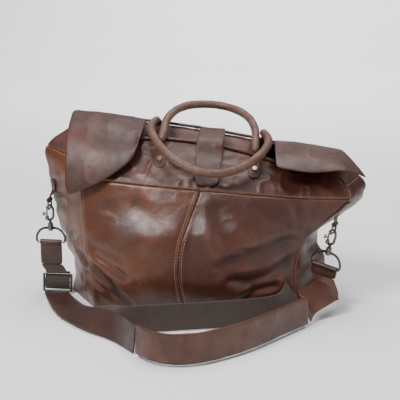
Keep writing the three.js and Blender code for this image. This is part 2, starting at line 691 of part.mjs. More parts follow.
// ================================================================ closing flaps
// A flap is a leaf from a hinge line along the rear rim to its free edge.
function flap(hinge, free, forward, sag) {
  const cols = 10;
  const rows = 7;
  const hingeLine = smooth(hinge, cols);
  const freeLine = smooth(free, cols);
  const middle = [];
  for (let j = 0; j <= rows; j++) {
    const q = j / rows;
    middle.push(hingeLine.map((h, i) => {
      const f = freeLine[i];
      const c = v3(mix(h.x, f.x, 0.45), f.y * forward, h.z - sag);
      return h.clone().multiplyScalar((1 - q) ** 2)
        .addScaledVector(c, 2 * q * (1 - q)).addScaledVector(f, q * q);
    }));
  }
  const normal = (j, i) => {
    const du = middle[j][Math.min(i + 1, cols)].clone().sub(middle[j][Math.max(i - 1, 0)]);
    const dv = middle[Math.min(j + 1, rows)][i].clone().sub(middle[Math.max(j - 1, 0)][i]);
    return dv.cross(du).normalize();
  };
  const outer = middle.map((row, j) => row.map((p, i) => p.clone().addScaledVector(normal(j, i), FLAP_LEATHER)));
  return slab(outer, middle);
}
const FLAP_FORWARD = 17 / 105; // hinge lines stand in front of the rear rim
const hingeY = depth * FLAP_FORWARD;
const rearRimTop = (x) => rimRear(x).z + 2 * WELT_RADIUS + SKIN_GAP;
const leftInner = rearFeet.x - REAR_HANDLE_WIDE - HANDLE_RADIUS - 2;
piece('left_wing', flap(
  [v3(-0.97 * half, hingeY - 3, 1.083 * BODY_HEIGHT), v3(-0.7 * half, hingeY, 1.064 * BODY_HEIGHT),
    v3(leftInner, hingeY, rearRimTop(leftInner))],
  [v3(-0.93 * half, -0.86 * depth, 0.645 * BODY_HEIGHT), v3(-0.7 * half, -0.895 * depth, 0.73 * BODY_HEIGHT),
    v3(-0.56 * half, -0.82 * depth, 0.8 * BODY_HEIGHT), v3(leftInner - 8, -0.7 * depth, 0.87 * BODY_HEIGHT),
    v3(leftInner, -0.57 * depth, 0.957 * BODY_HEIGHT)],
  0.74, 14), LEATHER_BROWN, 0.4);
const rightInner = rearFeet.x + REAR_HANDLE_WIDE + HANDLE_RADIUS + 2;
piece('right_wing', flap(
  [v3(rightInner, hingeY - 1, rearRimTop(rightInner)), v3(0.75 * half, hingeY - 4, 0.91 * BODY_HEIGHT),
    v3(0.97 * half, hingeY - 10, 0.885 * BODY_HEIGHT)],
  [v3(rightInner + 8, -0.69 * depth, 0.835 * BODY_HEIGHT), v3(0.73 * half, -0.69 * depth, 0.81 * BODY_HEIGHT),
    v3(0.89 * half, -0.63 * depth, 0.812 * BODY_HEIGHT), v3(1.02 * half, -0.55 * depth, 0.81 * BODY_HEIGHT),
    v3(1.15 * half, -0.48 * depth, 0.765 * BODY_HEIGHT)],
  0.7, 6), LEATHER_BROWN, 0.4);

// Central tab: from the rear rim over the mouth and the front rim down the front yoke.
const TAB_CENTRE = 12;
const TAB_END = 0.73 * BODY_HEIGHT;
function closureTab() {
  const rows = [];
  const lift = 2 * WELT_RADIUS + 2 * SKIN_GAP + 0.6;
  const rimZ = rimFront(TAB_CENTRE - TAB_WIDTH / 2).z + lift;
  rows.push({ y: hingeY, z: rearRimTop(TAB_CENTRE) + 0.6, w: 1, turn: v3(0, -0.2, 1) });
  const halfWay = mix(rearRimTop(TAB_CENTRE), rimZ, 0.45);
  rows.push({ y: mix(hingeY, rimFront(0).y, 0.5), z: halfWay, w: 1, turn: v3(0, -0.3, 1) });
  rows.push({ y: rimFront(0).y + 1, z: rimZ, w: 1, turn: v3(0, -0.5, 1) });
  rows.push({ y: rimFront(0).y - 6, z: rimZ - 4.5, w: 1, turn: v3(0, -0.9, 0.6) });
  const top = rimFront(TAB_CENTRE).z - 8;
  const ends = [[0, 1], [0.2, 1], [0.4, 1], [0.6, 1], [0.78, 0.98], [0.9, 0.88], [0.97, 0.66], [1, 0.4]];
  for (const [k, w] of ends) {
    rows.push({ z: mix(top, TAB_END, k), w, on: true });
  }
  const outer = [];
  const inner = [];
  for (const row of rows) {
    const rowOut = [];
    const rowIn = [];
    for (let i = 0; i <= 6; i++) {
      const dx = (TAB_WIDTH / 2) * row.w * (i / 3 - 1);
      const x = TAB_CENTRE + dx;
      if (row.on) {
        rowIn.push(onWall(frontRun, x, row.z - 0.04 * dx, 2 * SKIN_GAP));
        rowOut.push(onWall(frontRun, x, row.z - 0.04 * dx, 2 * SKIN_GAP + FLAP_LEATHER));
      } else {
        const p = v3(x, row.y, row.z - 0.05 * dx);
        rowIn.push(p);
        rowOut.push(p.clone().addScaledVector(row.turn.clone().normalize(), FLAP_LEATHER));
      }
    }
    outer.push(rowOut);
    inner.push(rowIn);
  }
  return slab(outer, inner);
}
piece('closure_tab', closureTab(), LEATHER_BROWN, 0.35);

// ================================================================ rings, hooks and strap loops
// Each set is built hanging down from its origin, the inside top of the hook's crook:
// the hook lies in the XZ plane and the ring of the bag in the YZ plane.
const HOOK_HALF = HOOK_WIDTH / 2 - WIRE_RADIUS / 2;
const CROOK_END = -HOOK_LENGTH + 8;
const COLLAR_TOP = -HOOK_LENGTH + 2;
const COLLAR_HEIGHT = 5;
const SWIVEL_GAP = 0.5;
const LOOP_COLLAR_TOP = COLLAR_TOP - COLLAR_HEIGHT - SWIVEL_GAP;
const LOOP_COLLAR_HEIGHT = 5;
const POST_RADIUS = 2;
const HEAD_RADIUS = 3.6;
const HEAD_HEIGHT = 1.8;
const LOOP_DEPTH = 22;
const LOOP_HALF = STRAP_WIDTH / 2 + WIRE_RADIUS + 1;
const LOOP_BAR = LOOP_COLLAR_TOP - LOOP_COLLAR_HEIGHT - LOOP_DEPTH;
const SLEEVE_TOP = CROOK_END + 6;
const BOLT_TOP = -5.5;
const BOLT_TRAVEL = 6.5;
const STEM_RADIUS = 1.2;
const KNOB_Z = -13;

function hookBody() {
  const path = smooth([
    v3(0, 0, CROOK_END), v3(HOOK_HALF * 0.8, 0, CROOK_END + 3), v3(HOOK_HALF, 0, CROOK_END + 8),
    v3(HOOK_HALF, 0, -6),
    v3(HOOK_HALF * 0.7, 0, -1.2), v3(0, 0, WIRE_RADIUS), v3(-HOOK_HALF * 0.7, 0, -1), v3(-HOOK_HALF, 0, -4.2),
  ], 18);
  const sleeve = rod(v3(-HOOK_HALF, 0, SLEEVE_TOP), v3(-HOOK_HALF, 0, SLEEVE_TOP - 6), BOLT_RADIUS + 1.9);
  const arm = box(-HOOK_HALF / 2, 0, SLEEVE_TOP - 6, HOOK_HALF + 2.4, 3.4, 3.4);
  const neck = rod(v3(0, 0, CROOK_END + 2), v3(0, 0, COLLAR_TOP - 1), 2.6);
  const collar = rod(v3(0, 0, COLLAR_TOP), v3(0, 0, COLLAR_TOP - COLLAR_HEIGHT), 4.6, 14);
  const headTop = LOOP_COLLAR_TOP - LOOP_COLLAR_HEIGHT - SWIVEL_GAP;
  const post = rod(v3(0, 0, COLLAR_TOP - 1), v3(0, 0, headTop - 1), POST_RADIUS);
  const head = rod(v3(0, 0, headTop), v3(0, 0, headTop - HEAD_HEIGHT), HEAD_RADIUS, 12);
  const boreRadius = BOLT_RADIUS + LOOP_CLEARANCE;
  const bore = rod(v3(-HOOK_HALF, 0, SLEEVE_TOP + 1), v3(-HOOK_HALF, 0, SLEEVE_TOP - 14), boreRadius);
  const slotWidth = 2 * (STEM_RADIUS + LOOP_CLEARANCE);
  const slot = box(-HOOK_HALF - 3, 0, SLEEVE_TOP - BOLT_TRAVEL / 2 + 1.2, 5, slotWidth, BOLT_TRAVEL);
  return cut(join([bar(path, WIRE_RADIUS, 8), sleeve, arm, neck, collar, post, head]), [bore, slot]);
}

function hookBolt() {
  const pin = rod(v3(-HOOK_HALF, 0, BOLT_TOP), v3(-HOOK_HALF, 0, SLEEVE_TOP - 3), BOLT_RADIUS);
  const stem = rod(v3(-HOOK_HALF, 0, KNOB_Z), v3(-HOOK_HALF - 4.6, 0, KNOB_Z), STEM_RADIUS);
  const knob = rod(v3(-HOOK_HALF - 4, 0, KNOB_Z), v3(-HOOK_HALF - 6.8, 0, KNOB_Z), KNOB_RADIUS, 14);
  return join([pin, stem, knob]);
}

function strapLoop() {
  const middle = LOOP_COLLAR_TOP - LOOP_COLLAR_HEIGHT / 2;
  const collar = rod(v3(0, 0, LOOP_COLLAR_TOP), v3(0, 0, LOOP_COLLAR_TOP - LOOP_COLLAR_HEIGHT), 5.4, 14);
  const right = [
    v3(3.6, 0, middle), v3(12, 0, middle - 1), v3(LOOP_HALF * 0.8, 0, middle - 6),
    v3(LOOP_HALF, 0, middle - 15), v3(LOOP_HALF, 0, LOOP_BAR + 3), v3(LOOP_HALF - 1, 0, LOOP_BAR + 0.6),
    v3(LOOP_HALF - 4, 0, LOOP_BAR), v3(LOOP_HALF - 8, 0, LOOP_BAR),
  ];
  const left = right.slice().reverse().map((p) => v3(-p.x, 0, p.z));
  const wire = bar(smooth([...right, v3(0, 0, LOOP_BAR), ...left], 32), WIRE_RADIUS, 7);
  const boreLow = LOOP_COLLAR_TOP - LOOP_COLLAR_HEIGHT - 1;
  const bore = rod(v3(0, 0, LOOP_COLLAR_TOP + 1), v3(0, 0, boreLow), POST_RADIUS + LOOP_CLEARANCE);
  return cut(join([wire, collar]), [bore]);
}

// Ring of the bag: a rectangular wire loop whose lower bar hangs in the crook.
const RING_LOW = -WIRE_RADIUS - 1.4;
function ring() {
  const w = RING_WIDTH / 2;
  const h = RING_HEIGHT;
  const corner = 3;
  const path = [
    v3(0, -w + corner, RING_LOW), v3(0, w - corner, RING_LOW), v3(0, w - 0.8, RING_LOW + 0.8),
    v3(0, w, RING_LOW + corner), v3(0, w, RING_LOW + h - corner), v3(0, w - 0.8, RING_LOW + h - 0.8),
    v3(0, w - corner, RING_LOW + h), v3(0, -w + corner, RING_LOW + h), v3(0, -w + 0.8, RING_LOW + h - 0.8),
    v3(0, -w, RING_LOW + h - corner), v3(0, -w, RING_LOW + corner), v3(0, -w + 0.8, RING_LOW + 0.8),
  ];
  return bar(path, 1.5, 8, false, true);
}

// Leather loop that holds the ring: a strip around its upper bar, sewn flat to the panel above it.
const RING_TAB_WIDTH = RING_WIDTH - 8;
const RING_TAB_RISE = 12; // first stitch above the bar
const RING_TAB_LENGTH = 18; // sewn length
function ringTab(set) {
  const r = 1.5 + LOOP_CLEARANCE;
  const shape = new THREE.Shape();
  shape.absarc(0, 0, r + 2.2, 0, Math.PI * 2, false);
  const hole = new THREE.Path();
  hole.absarc(0, 0, r, 0, Math.PI * 2, true);
  shape.holes.push(hole);
  const wrap = new THREE.ExtrudeGeometry(shape, { depth: RING_TAB_WIDTH, bevelEnabled: false, curveSegments: 8 });
  wrap.rotateX(Math.PI / 2).translate(0, RING_TAB_WIDTH / 2, RING_LOW + RING_HEIGHT);
  set.group.updateMatrixWorld(true);
  wrap.applyMatrix4(set.group.matrixWorld);
  const top = v3(0, 0, RING_LOW + RING_HEIGHT + r + 1.1).applyMatrix4(set.group.matrixWorld);
  const across = v3(0, 1, 0).transformDirection(set.group.matrixWorld).multiplyScalar(RING_TAB_WIDTH / 2);
  const facing = set.seat(top.z, 2).sub(set.seat(top.z, 0)).normalize();
  const rows = [[top, facing, across]];
  for (const k of [0, 0.5, 1]) {
    const z = top.z + RING_TAB_RISE + k * RING_TAB_LENGTH;
    const n = set.seat(z, 2).sub(set.seat(z, 0)).normalize();
    const flat = n.clone().cross(v3(0, 0, 1)).setLength(across.length());
    if (flat.dot(across) < 0) flat.negate();
    rows.push([set.seat(z, SKIN_GAP + 1.6), n, flat]);
  }
  const thick = 2;
  const outer = [];
  const inner = [];
  for (const [p, n, wide] of rows) {
    outer.push([-1, 1].map((k) => p.clone().addScaledVector(wide, k).addScaledVector(n, thick / 2)));
    inner.push([-1, 1].map((k) => p.clone().addScaledVector(wide, k).addScaledVector(n, -thick / 2)));
  }
  return join([wrap, slab(outer, inner)]);
}

// Place on the front half of a gusset, at a share of the way from its crease to its seam.
function onGusset(side, share, z, off) {
  const u = side < 0 ? 3.5 + share / 2 : 1.5 - share / 2;
  let [low, high] = [1, RIM];
  for (let i = 0; i < 20; i++) {
    const t = (low + high) / 2;
    if (bodyPoint(u, t).z < z) low = t;
    else high = t;
  }
  return wall(u, low, off);
}

// Each ring bar hangs at barZ, at a clear distance from the gusset; turn and lean are the lie of the hook.
const hookSets = {
  left: { side: -1, share: 0.1, barZ: 0.57 * BODY_HEIGHT, clear: 13, turn: 0, lean: 0 },
  right: { side: 1, share: 0.92, barZ: 0.535 * BODY_HEIGHT, clear: 10, turn: -0.35, lean: 0.2 },
};
for (const set of Object.values(hookSets)) {
  set.seat = (z, off) => onGusset(set.side, set.share, z, off);
  set.at = set.seat(set.barZ, set.clear).sub(v3(0, 0, RING_LOW + RING_HEIGHT));
}
for (const [name, set] of Object.entries(hookSets)) {
  const hang = new THREE.Group();
  hang.position.copy(set.at);
  hang.rotation.set(0, set.lean, set.turn, 'ZYX');
  bag.add(hang);
  set.group = hang;
  piece(`${name}_ring`, ring(), METAL_BLACK, 0.35, 0.9, hang);
  piece(`${name}_ring_tab`, ringTab(set), LEATHER_DARK, 0.5);
  piece(`${name}_hook`, hookBody(), METAL_BLACK, 0.35, 0.9, hang);
  piece(`${name}_hook_bolt`, hookBolt(), METAL_BLACK, 0.35, 0.9, hang);
  piece(`${name}_strap_loop`, strapLoop(), METAL_BLACK, 0.35, 0.9, hang);
}

// ================================================================ shoulder strap
// Leather end folded around the bar of a loop, hanging length below the bar.
function strapEnd(width, length, thick) {
  const r = WIRE_RADIUS + LOOP_CLEARANCE;
  const shape = new THREE.Shape();
  shape.absarc(0, 0, r + 2, 0, Math.PI * 2, false);
  const hole = new THREE.Path();
  hole.absarc(0, 0, r, 0, Math.PI * 2, true);
  shape.holes.push(hole);
  const wrap = new THREE.ExtrudeGeometry(shape, { depth: width, bevelEnabled: false, curveSegments: 10 });
  wrap.rotateY(Math.PI / 2).translate(-width / 2, 0, LOOP_BAR);
  const tail = box(0, 0, LOOP_BAR - r - 0.6 - length / 2, width, thick, length);
  return join([wrap, tail]);
}
const END_WIDTH = 36;
const SLIDER_WIRE = 3;
const SLIDER_HEIGHT = 29;
const LINK_DROP = 11.3; // webbing between the leather end and the slider
const LINK_LOW = 3; // lower edge of that webbing above the slider
const strapSliderAt = v3(-1.082 * half, -0.24 * depth, 19);
const loopFoot = LOOP_BAR - WIRE_RADIUS - LOOP_CLEARANCE - 0.6; // underside of the wrap at a loop's bar
const linkLow = strapSliderAt.z + SLIDER_HEIGHT / 2 + LINK_LOW;
const END_LENGTH = hookSets.left.at.z + loopFoot - 0.6 - linkLow - LINK_DROP;
piece('strap_end_left', strapEnd(END_WIDTH, END_LENGTH, 4.4), LEATHER_DARK, 0.4, 0, hookSets.left.group);
const END_RIGHT_LENGTH = 12;
piece('strap_end_right', strapEnd(STRAP_WIDTH, END_RIGHT_LENGTH, 4.4), LEATHER_DARK, 0.4, 0, hookSets.right.group);

// Band between two edges, each a smooth run through a few places.
function band(edges, thick, steps) {
  const low = smooth(edges.map(([x, y, z]) => v3(x, y, z)), steps);
  const high = smooth(edges.map((e) => v3(e[3], e[4], e[5])), steps);
  const rings = low.map((a, k) => {
    const b = high[k];
    const i = Math.max(k - 1, 0);
    const j = Math.min(k + 1, steps);
    const run = low[j].clone().add(high[j]).sub(low[i]).sub(high[i]);
    const n = run.cross(b.clone().sub(a)).normalize().multiplyScalar(thick / 2);
    return [a.clone().sub(n), b.clone().sub(n), b.clone().add(n), a.clone().add(n)];
  });
  return loft(rings);
}

// Slider of the strap: a ladder frame around the two layers, upright at the left end.
function strapSlider() {
  const w = STRAP_WIDTH / 2 + 1 + SLIDER_WIRE / 2;
  const h = SLIDER_HEIGHT / 2;
  const rails = [-1, 1].map((k) => rod(v3(k * w, 0, -h), v3(k * w, 0, h), SLIDER_WIRE / 2 + 0.6));
  const bars = [-h, 0, h].map((z) => rod(v3(-w - 0.5, 0, z), v3(w + 0.5, 0, z), SLIDER_WIRE / 2));
  return join([...rails, ...bars]).rotateX(-0.12).translate(strapSliderAt.x, strapSliderAt.y, strapSliderAt.z);
}
piece('strap_slider', strapSlider(), METAL_BLACK, 0.35, 0.9);

// Webbing from the leather end down to the slider.
const endFoot = hookSets.left.at.clone().add(v3(0, 0, loopFoot - END_LENGTH - 0.6));
const linkHalf = END_WIDTH / 2;
piece('strap_link_left', band([
  [endFoot.x - linkHalf, endFoot.y, endFoot.z, endFoot.x + linkHalf, endFoot.y, endFoot.z],
  [endFoot.x - linkHalf + 3, endFoot.y - 2, endFoot.z - 4, endFoot.x + linkHalf + 4, endFoot.y - 2, endFoot.z - 4],
  [strapSliderAt.x - linkHalf, strapSliderAt.y, linkLow, strapSliderAt.x + linkHalf, strapSliderAt.y, linkLow],
], WEBBING_THICK, 6), WEBBING_BROWN, 0.8);

// Outer layer, from the slider along the floor to the pad. Each station holds its outer lower
// edge and its inner upper edge.
const reachX = half / 228;
const tall = STRAP_WIDTH;
const LAYER_STEP = WEBBING_THICK + 1; // middle of one layer to the middle of the next
const lie = STRAP_FLOOR_GAP + WEBBING_THICK / 2; // middle of a layer lying on the floor
const sx = strapSliderAt.x;
const sy = strapSliderAt.y;
const strapHalf = STRAP_WIDTH / 2;
const outerRun = [
  [sx - strapHalf, sy - 8, lie + LAYER_STEP, sx + strapHalf, sy - 8, lie + LAYER_STEP],
  [sx - strapHalf + 12, sy - 38, lie + LAYER_STEP, sx + strapHalf + 4, sy - 24, lie + 8],
  [-236 * reachX, -108, lie + LAYER_STEP, -199 * reachX, -90, lie + 11],
  [-200 * reachX, -162, lie + LAYER_STEP, -171 * reachX, -139, lie + 19],
  [-158 * reachX, -202, lie + 3, -137 * reachX, -181, lie + 31],
  [-112 * reachX, -232, lie, -103 * reachX, -218, lie + 0.9 * tall],
  [-70 * reachX, -279, lie, -67 * reachX, -276, lie + tall],
];
piece('strap_outer_left', band(outerRun, WEBBING_THICK, 22), LEATHER_DARK, 0.45);

// Inner layer: under the outer one as far as the twist, then across in front of the bag.
function under(run, k) {
  const [a, b] = [Math.max(k - 1, 0), Math.min(k + 1, run.length - 1)];
  const low = (i) => v3(run[i][0], run[i][1], run[i][2]);
  const high = (i) => v3(run[i][3], run[i][4], run[i][5]);
  const travel = low(b).add(high(b)).sub(low(a)).sub(high(a));
  const n = high(k).sub(low(k)).cross(travel).normalize().multiplyScalar(LAYER_STEP);
  return [...low(k).add(n).toArray(), ...high(k).add(n).toArray()];
}
const innerRun = [0, 1, 2, 3].map((k) => under(outerRun, k));
innerRun.push(
  [-143 * reachX, -184, lie, -125 * reachX, -166, lie + 32],
  [-104 * reachX, -200, lie, -98 * reachX, -190, lie + 0.95 * tall],
  [-40 * reachX, -184, lie, -40 * reachX, -180, lie + tall],
  [20 * reachX, -166, lie, 20 * reachX, -163, lie + tall],
  [78 * reachX, -146, lie, 78 * reachX, -143, lie + tall],
  [128 * reachX, -124, lie, 128 * reachX - 0.095 * tall, -124 + 0.095 * tall, lie + 1.02 * tall],
  [156 * reachX, -104, lie + 5, 156 * reachX - 0.524 * tall, -104 + 0.143 * tall, lie + 5 + 0.941 * tall],
  [165 * reachX, -84, lie + 19, 165 * reachX - 0.643 * tall, -84 + 0.048 * tall, lie + 19 + 0.768 * tall],
);
piece('strap_inner', band(innerRun, WEBBING_THICK, 40), WEBBING_BROWN, 0.8);

// Shoulder pad with its backing strip on the side towards the bag.
const padRun = [
  [-66, -284], [-45, -304], [-22, -315], [6, -315], [34, -304],
  [64, -280], [95, -248], [122, -212], [150, -171], [176, -134],
];
const PAD_LIFT = 3;
const PAD_WIDTH = STRAP_WIDTH + 2;
const PAD_LEAN = 2.5;
function padEdges(low, high, inset) {
  return padRun.map(([x, y], k) => {
    const [a, b] = [padRun[Math.max(k - 1, 0)], padRun[Math.min(k + 1, padRun.length - 1)]];
    const travel = v3((b[0] - a[0]) * reachX, b[1] - a[1], 0).normalize();
    const p = v3(x * reachX - travel.y * inset, y + travel.x * inset, 0);
    return [p.x, p.y, low, p.x - travel.y * PAD_LEAN, p.y + travel.x * PAD_LEAN, high];
  });
}
const padLow = lie + PAD_LIFT;
piece('shoulder_pad', band(padEdges(padLow, padLow + PAD_WIDTH, 0), PAD_THICK, 26), LEATHER_TAN, 0.4);
const backingInset = PAD_THICK / 2 + WEBBING_THICK / 2 + 1.4;
piece('pad_backing', band(padEdges(lie, lie + tall, backingInset), WEBBING_THICK, 26), WEBBING_BROWN, 0.8);

// Outer layer from the pad up to the right strap loop.
const END_EASE = 1.5; // the strap is this much narrower on each side than its folded end
const rightEnd = (k, drop) => v3(k * (strapHalf - END_EASE), 0, loopFoot - END_RIGHT_LENGTH - drop)
  .applyMatrix4(hookSets.right.group.matrixWorld);
const [endA, endB] = [rightEnd(-1, 1.6), rightEnd(1, 1.6)];
piece('strap_outer_right', band([
  [endB.x, endB.y, endB.z, endA.x, endA.y, endA.z],
  [endB.x + 7, endB.y - 20, endB.z - 22, endA.x + 4, endA.y - 22, endA.z - 6],
  [186 * reachX, -112, 13, 160 * reachX, -119, 49],
  [180.5 * reachX, -125, lie + 3, 170 * reachX, -128, lie + 1.02 * tall],
], WEBBING_THICK, 14), LEATHER_DARK, 0.45);

export default bag;
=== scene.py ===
import bmesh
import bpy
import math
import numpy as np
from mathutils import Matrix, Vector
from mathutils.bvhtree import BVHTree


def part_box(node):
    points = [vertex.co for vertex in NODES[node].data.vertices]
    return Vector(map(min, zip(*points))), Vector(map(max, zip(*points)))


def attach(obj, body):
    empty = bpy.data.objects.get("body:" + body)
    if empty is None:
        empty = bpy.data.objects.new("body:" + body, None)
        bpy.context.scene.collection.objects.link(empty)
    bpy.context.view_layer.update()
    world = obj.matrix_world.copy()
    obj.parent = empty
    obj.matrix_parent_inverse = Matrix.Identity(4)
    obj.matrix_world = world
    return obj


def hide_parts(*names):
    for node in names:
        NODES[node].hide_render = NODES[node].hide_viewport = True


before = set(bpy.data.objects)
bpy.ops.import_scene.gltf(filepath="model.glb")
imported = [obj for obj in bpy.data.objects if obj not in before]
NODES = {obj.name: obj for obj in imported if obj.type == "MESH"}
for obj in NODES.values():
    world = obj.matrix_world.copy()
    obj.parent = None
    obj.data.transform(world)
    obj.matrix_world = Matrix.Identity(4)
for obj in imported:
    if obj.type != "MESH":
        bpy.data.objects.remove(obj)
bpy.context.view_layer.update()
MM = 0.001

# ---------------------------------------------------------------- shape of the body
# The stations of the CAD body: shares of its half length, half depth and height.
HALF = 0.228
DEPTH = 0.105
HEIGHT = 0.283
LEATHER = 0.0032
SEAM, POINT, RIM = 5.0, 6.0, 7.0
CENTRE_SEAM = 0.455
STATIONS = {
    "frontLeft": (
        [-0.73, -0.75, -0.77, -0.8, -0.82, -0.84, -0.83, -0.8],
        [-0.9, -0.95, -0.94, -0.87, -0.78, -0.68, -0.47, -0.28],
        [0, 0.14, 0.28, 0.44, 0.59, 0.745, 0.82, 0.897],
    ),
    "frontRight": (
        [0.73, 0.68, 0.67, 0.74, 0.88, 1.03, 1.0, 0.92],
        [-0.76, -0.7, -0.62, -0.6, -0.56, -0.42, -0.3, -0.15],
        [0, 0.14, 0.28, 0.42, 0.53, 0.645, 0.71, 0.775],
    ),
    "backRight": (
        [0.73, 0.72, 0.73, 0.78, 0.88, 1.0, 0.98, 0.9],
        [0.78, 0.78, 0.72, 0.66, 0.58, 0.46, 0.32, 0.16],
        [0, 0.14, 0.28, 0.42, 0.54, 0.655, 0.75, 0.83],
    ),
    "backLeft": (
        [-0.73, -0.75, -0.77, -0.8, -0.82, -0.84, -0.84, -0.84],
        [0.86, 0.89, 0.86, 0.78, 0.69, 0.59, 0.4, 0.22],
        [0, 0.14, 0.28, 0.44, 0.59, 0.75, 0.9, 1.035],
    ),
    "leftCrease": (
        [-1.0, -0.97, -1.025, -1.095, -1.12, -1.15, -1.16, -0.96],
        [0, 0, 0, 0, 0, 0, 0, 0],
        [0, 0.14, 0.28, 0.44, 0.58, 0.74, 0.88, 1.0],
    ),
    "rightCrease": (
        [0.985, 0.93, 0.86, 0.815, 1.0, 1.135, 1.1, 0.98],
        [0, 0, 0, 0, 0, 0, 0, 0],
        [0, 0.14, 0.28, 0.42, 0.525, 0.65, 0.75, 0.85],
    ),
}
FRONT_BULGE = [0.19, 0.38, 0.47, 0.46, 0.36, 0.3, 0.2, 0.03]
BACK_BULGE = [0.19, 0.3, 0.36, 0.37, 0.36, 0.3, 0.2, 0.02]
FRONT_RISE = [0, 0, 0, 0, 0, 0.01, 0.05, 0.085]
BACK_RISE = [0, 0, 0, 0, 0, 0.0, 0.02, 0.04]


def along(values, k):
    """Smooth value through evenly spaced numbers, at the places k."""
    v = np.asarray(values, float)
    k = np.asarray(k, float)
    last = len(v) - 1
    i = np.clip(np.floor(k).astype(int), 0, last - 1)
    f = k - i
    a, b = v[np.maximum(i - 1, 0)], v[i]
    c, d = v[i + 1], v[np.minimum(i + 2, last)]
    square, cube = 2 * a - 5 * b + 4 * c - d, 3 * b - a - 3 * c + d
    return 0.5 * (2 * b + (c - a) * f + square * f**2 + cube * f**3)


def station(name, t):
    x, y, z = STATIONS[name]
    return np.stack([along(x, t) * HALF, along(y, t) * DEPTH, along(z, t) * HEIGHT], -1)


def front_run(s, t):
    s = s[..., None]
    p = station("frontLeft", t) * (1 - s) + station("frontRight", t) * s
    s = s[..., 0]
    p[..., 1] -= along(FRONT_BULGE, t) * DEPTH * (1 - np.abs(2 * s - 1) ** 2.3)
    p[..., 2] += along(FRONT_RISE, t) * HEIGHT * np.maximum(0, 1 - ((s - 0.38) / 0.42) ** 2)
    return p


def back_run(s, t):
    s = s[..., None]
    p = station("backLeft", t) * (1 - s) + station("backRight", t) * s
    s = s[..., 0]
    p[..., 1] += along(BACK_BULGE, t) * DEPTH * (1 - np.abs(2 * s - 1) ** 2.3)
    p[..., 2] += along(BACK_RISE, t) * HEIGHT * (1 - (2 * s - 1) ** 2)
    return p


def fold(a, b, k, t):
    k = k[..., None]
    return station(a, t) * (1 - k) + station(b, t) * k


def body(u, t):
    """Point of the wall: u from 0 to 4 goes round front, right gusset, back and left gusset."""
    u, t = np.broadcast_arrays(np.asarray(u, float) % 4, np.asarray(t, float))
    out = np.zeros(u.shape + (3,))
    runs = [
        (0, 1, lambda k, h: front_run(np.clip(k, 0, 1), h)),
        (1, 1.5, lambda k, h: fold("frontRight", "rightCrease", k * 2, h)),
        (1.5, 2, lambda k, h: fold("rightCrease", "backRight", k * 2, h)),
        (2, 3, lambda k, h: back_run(1 - k, h)),
        (3, 3.5, lambda k, h: fold("backLeft", "leftCrease", k * 2, h)),
        (3.5, 4, lambda k, h: fold("leftCrease", "frontLeft", k * 2, h)),
    ]
    for low, high, run in runs:
        m = (u >= low) & (u < high)
        if m.any():
            out[m] = run(u[m] - low, t[m])
    return out


def unit(v):
    return v / np.maximum(np.linalg.norm(v, axis=-1, keepdims=True), 1e-12)


def body_normal(u, t):
    du = body(u + 0.02, t) - body(u - 0.02, t)
    dt = body(u, np.minimum(t + 0.15, RIM)) - body(u, np.maximum(t - 0.15, 0))
    return unit(np.cross(du, dt))


def mitred(u, t):
    """Outward direction and reach of the wall, shared by the panels of a corner."""
    a = body_normal(u - 0.02, t)
    b = body_normal(u + 0.02, t)
    n = unit(a + b)
    n[t < 0.01, 2] = 0
    n = unit(n)
    reach = 1 / np.maximum(0.55, (n * a).sum(-1))
    return n, reach


# ---------------------------------------------------------------- noise and folds
def lattice(p, size, seed=0):
    """Smooth noise from 0 to 1 with cells of the given size."""
    q = p / size + seed * 7.31
    i = np.floor(q)
    f = q - i
    f = f * f * (3 - 2 * f)
    total = 0
    for dx in (0, 1):
        for dy in (0, 1):
            for dz in (0, 1):
                h = (i[..., 0] + dx) * 127.1 + (i[..., 1] + dy) * 311.7
                h = h + (i[..., 2] + dz) * 74.7 + seed * 19.19
                r = np.sin(h) * 43758.5453
                r = r - np.floor(r)
                w = (f[..., 0] if dx else 1 - f[..., 0]) * (f[..., 1] if dy else 1 - f[..., 1])
                total = total + r * w * (f[..., 2] if dz else 1 - f[..., 2])
    return total


def ridged(p, size, seed=0):
    return 1 - np.abs(2 * lattice(p, size, seed) - 1)


def near(p, line, axes):
    """Distance in mm from points to a polyline, seen along the third axis."""
    q = p[..., axes] / MM
    best = np.full(q.shape[:-1], np.inf)
    for a, b in zip(line[:-1], line[1:]):
        a, b = np.array(a, float), np.array(b, float)
        d = b - a
        k = np.clip(((q - a) @ d) / (d @ d), 0, 1)[..., None]
        off = q - (a + k * d)
        best = np.minimum(best, np.linalg.norm(off, axis=-1))
    return best


def crease(p, line, width, depth, axes):
    """A valley of that width and depth (mm) with a raised lip on both sides."""
    d = near(p, line, axes)
    lip = FOLD_LIP * depth * np.exp(-(((d - FOLD_LIP_AT * width) / width) ** 2))
    return -depth * np.exp(-((d / width) ** 2)) + lip


def creased(p, folds, axes):
    total = 0
    for line, width, depth in folds:
        total = total + crease(p, line, width, depth, axes)
    return total


FOLD_LIP = 0.35  # height of the lip beside a fold, as a share of its depth
FOLD_LIP_AT = 2.1  # where the lip stands, in widths
SEAM_LEAN = (-0.020, 0.006)  # x of the front centre seam at the floor and at the rim
SEAM_DIP = 0.9  # mm that the leather dips at that seam
SEAM_DIP_WIDE = 0.008  # metres
FLOOR_FADE = 0.02  # folds grow in over this height

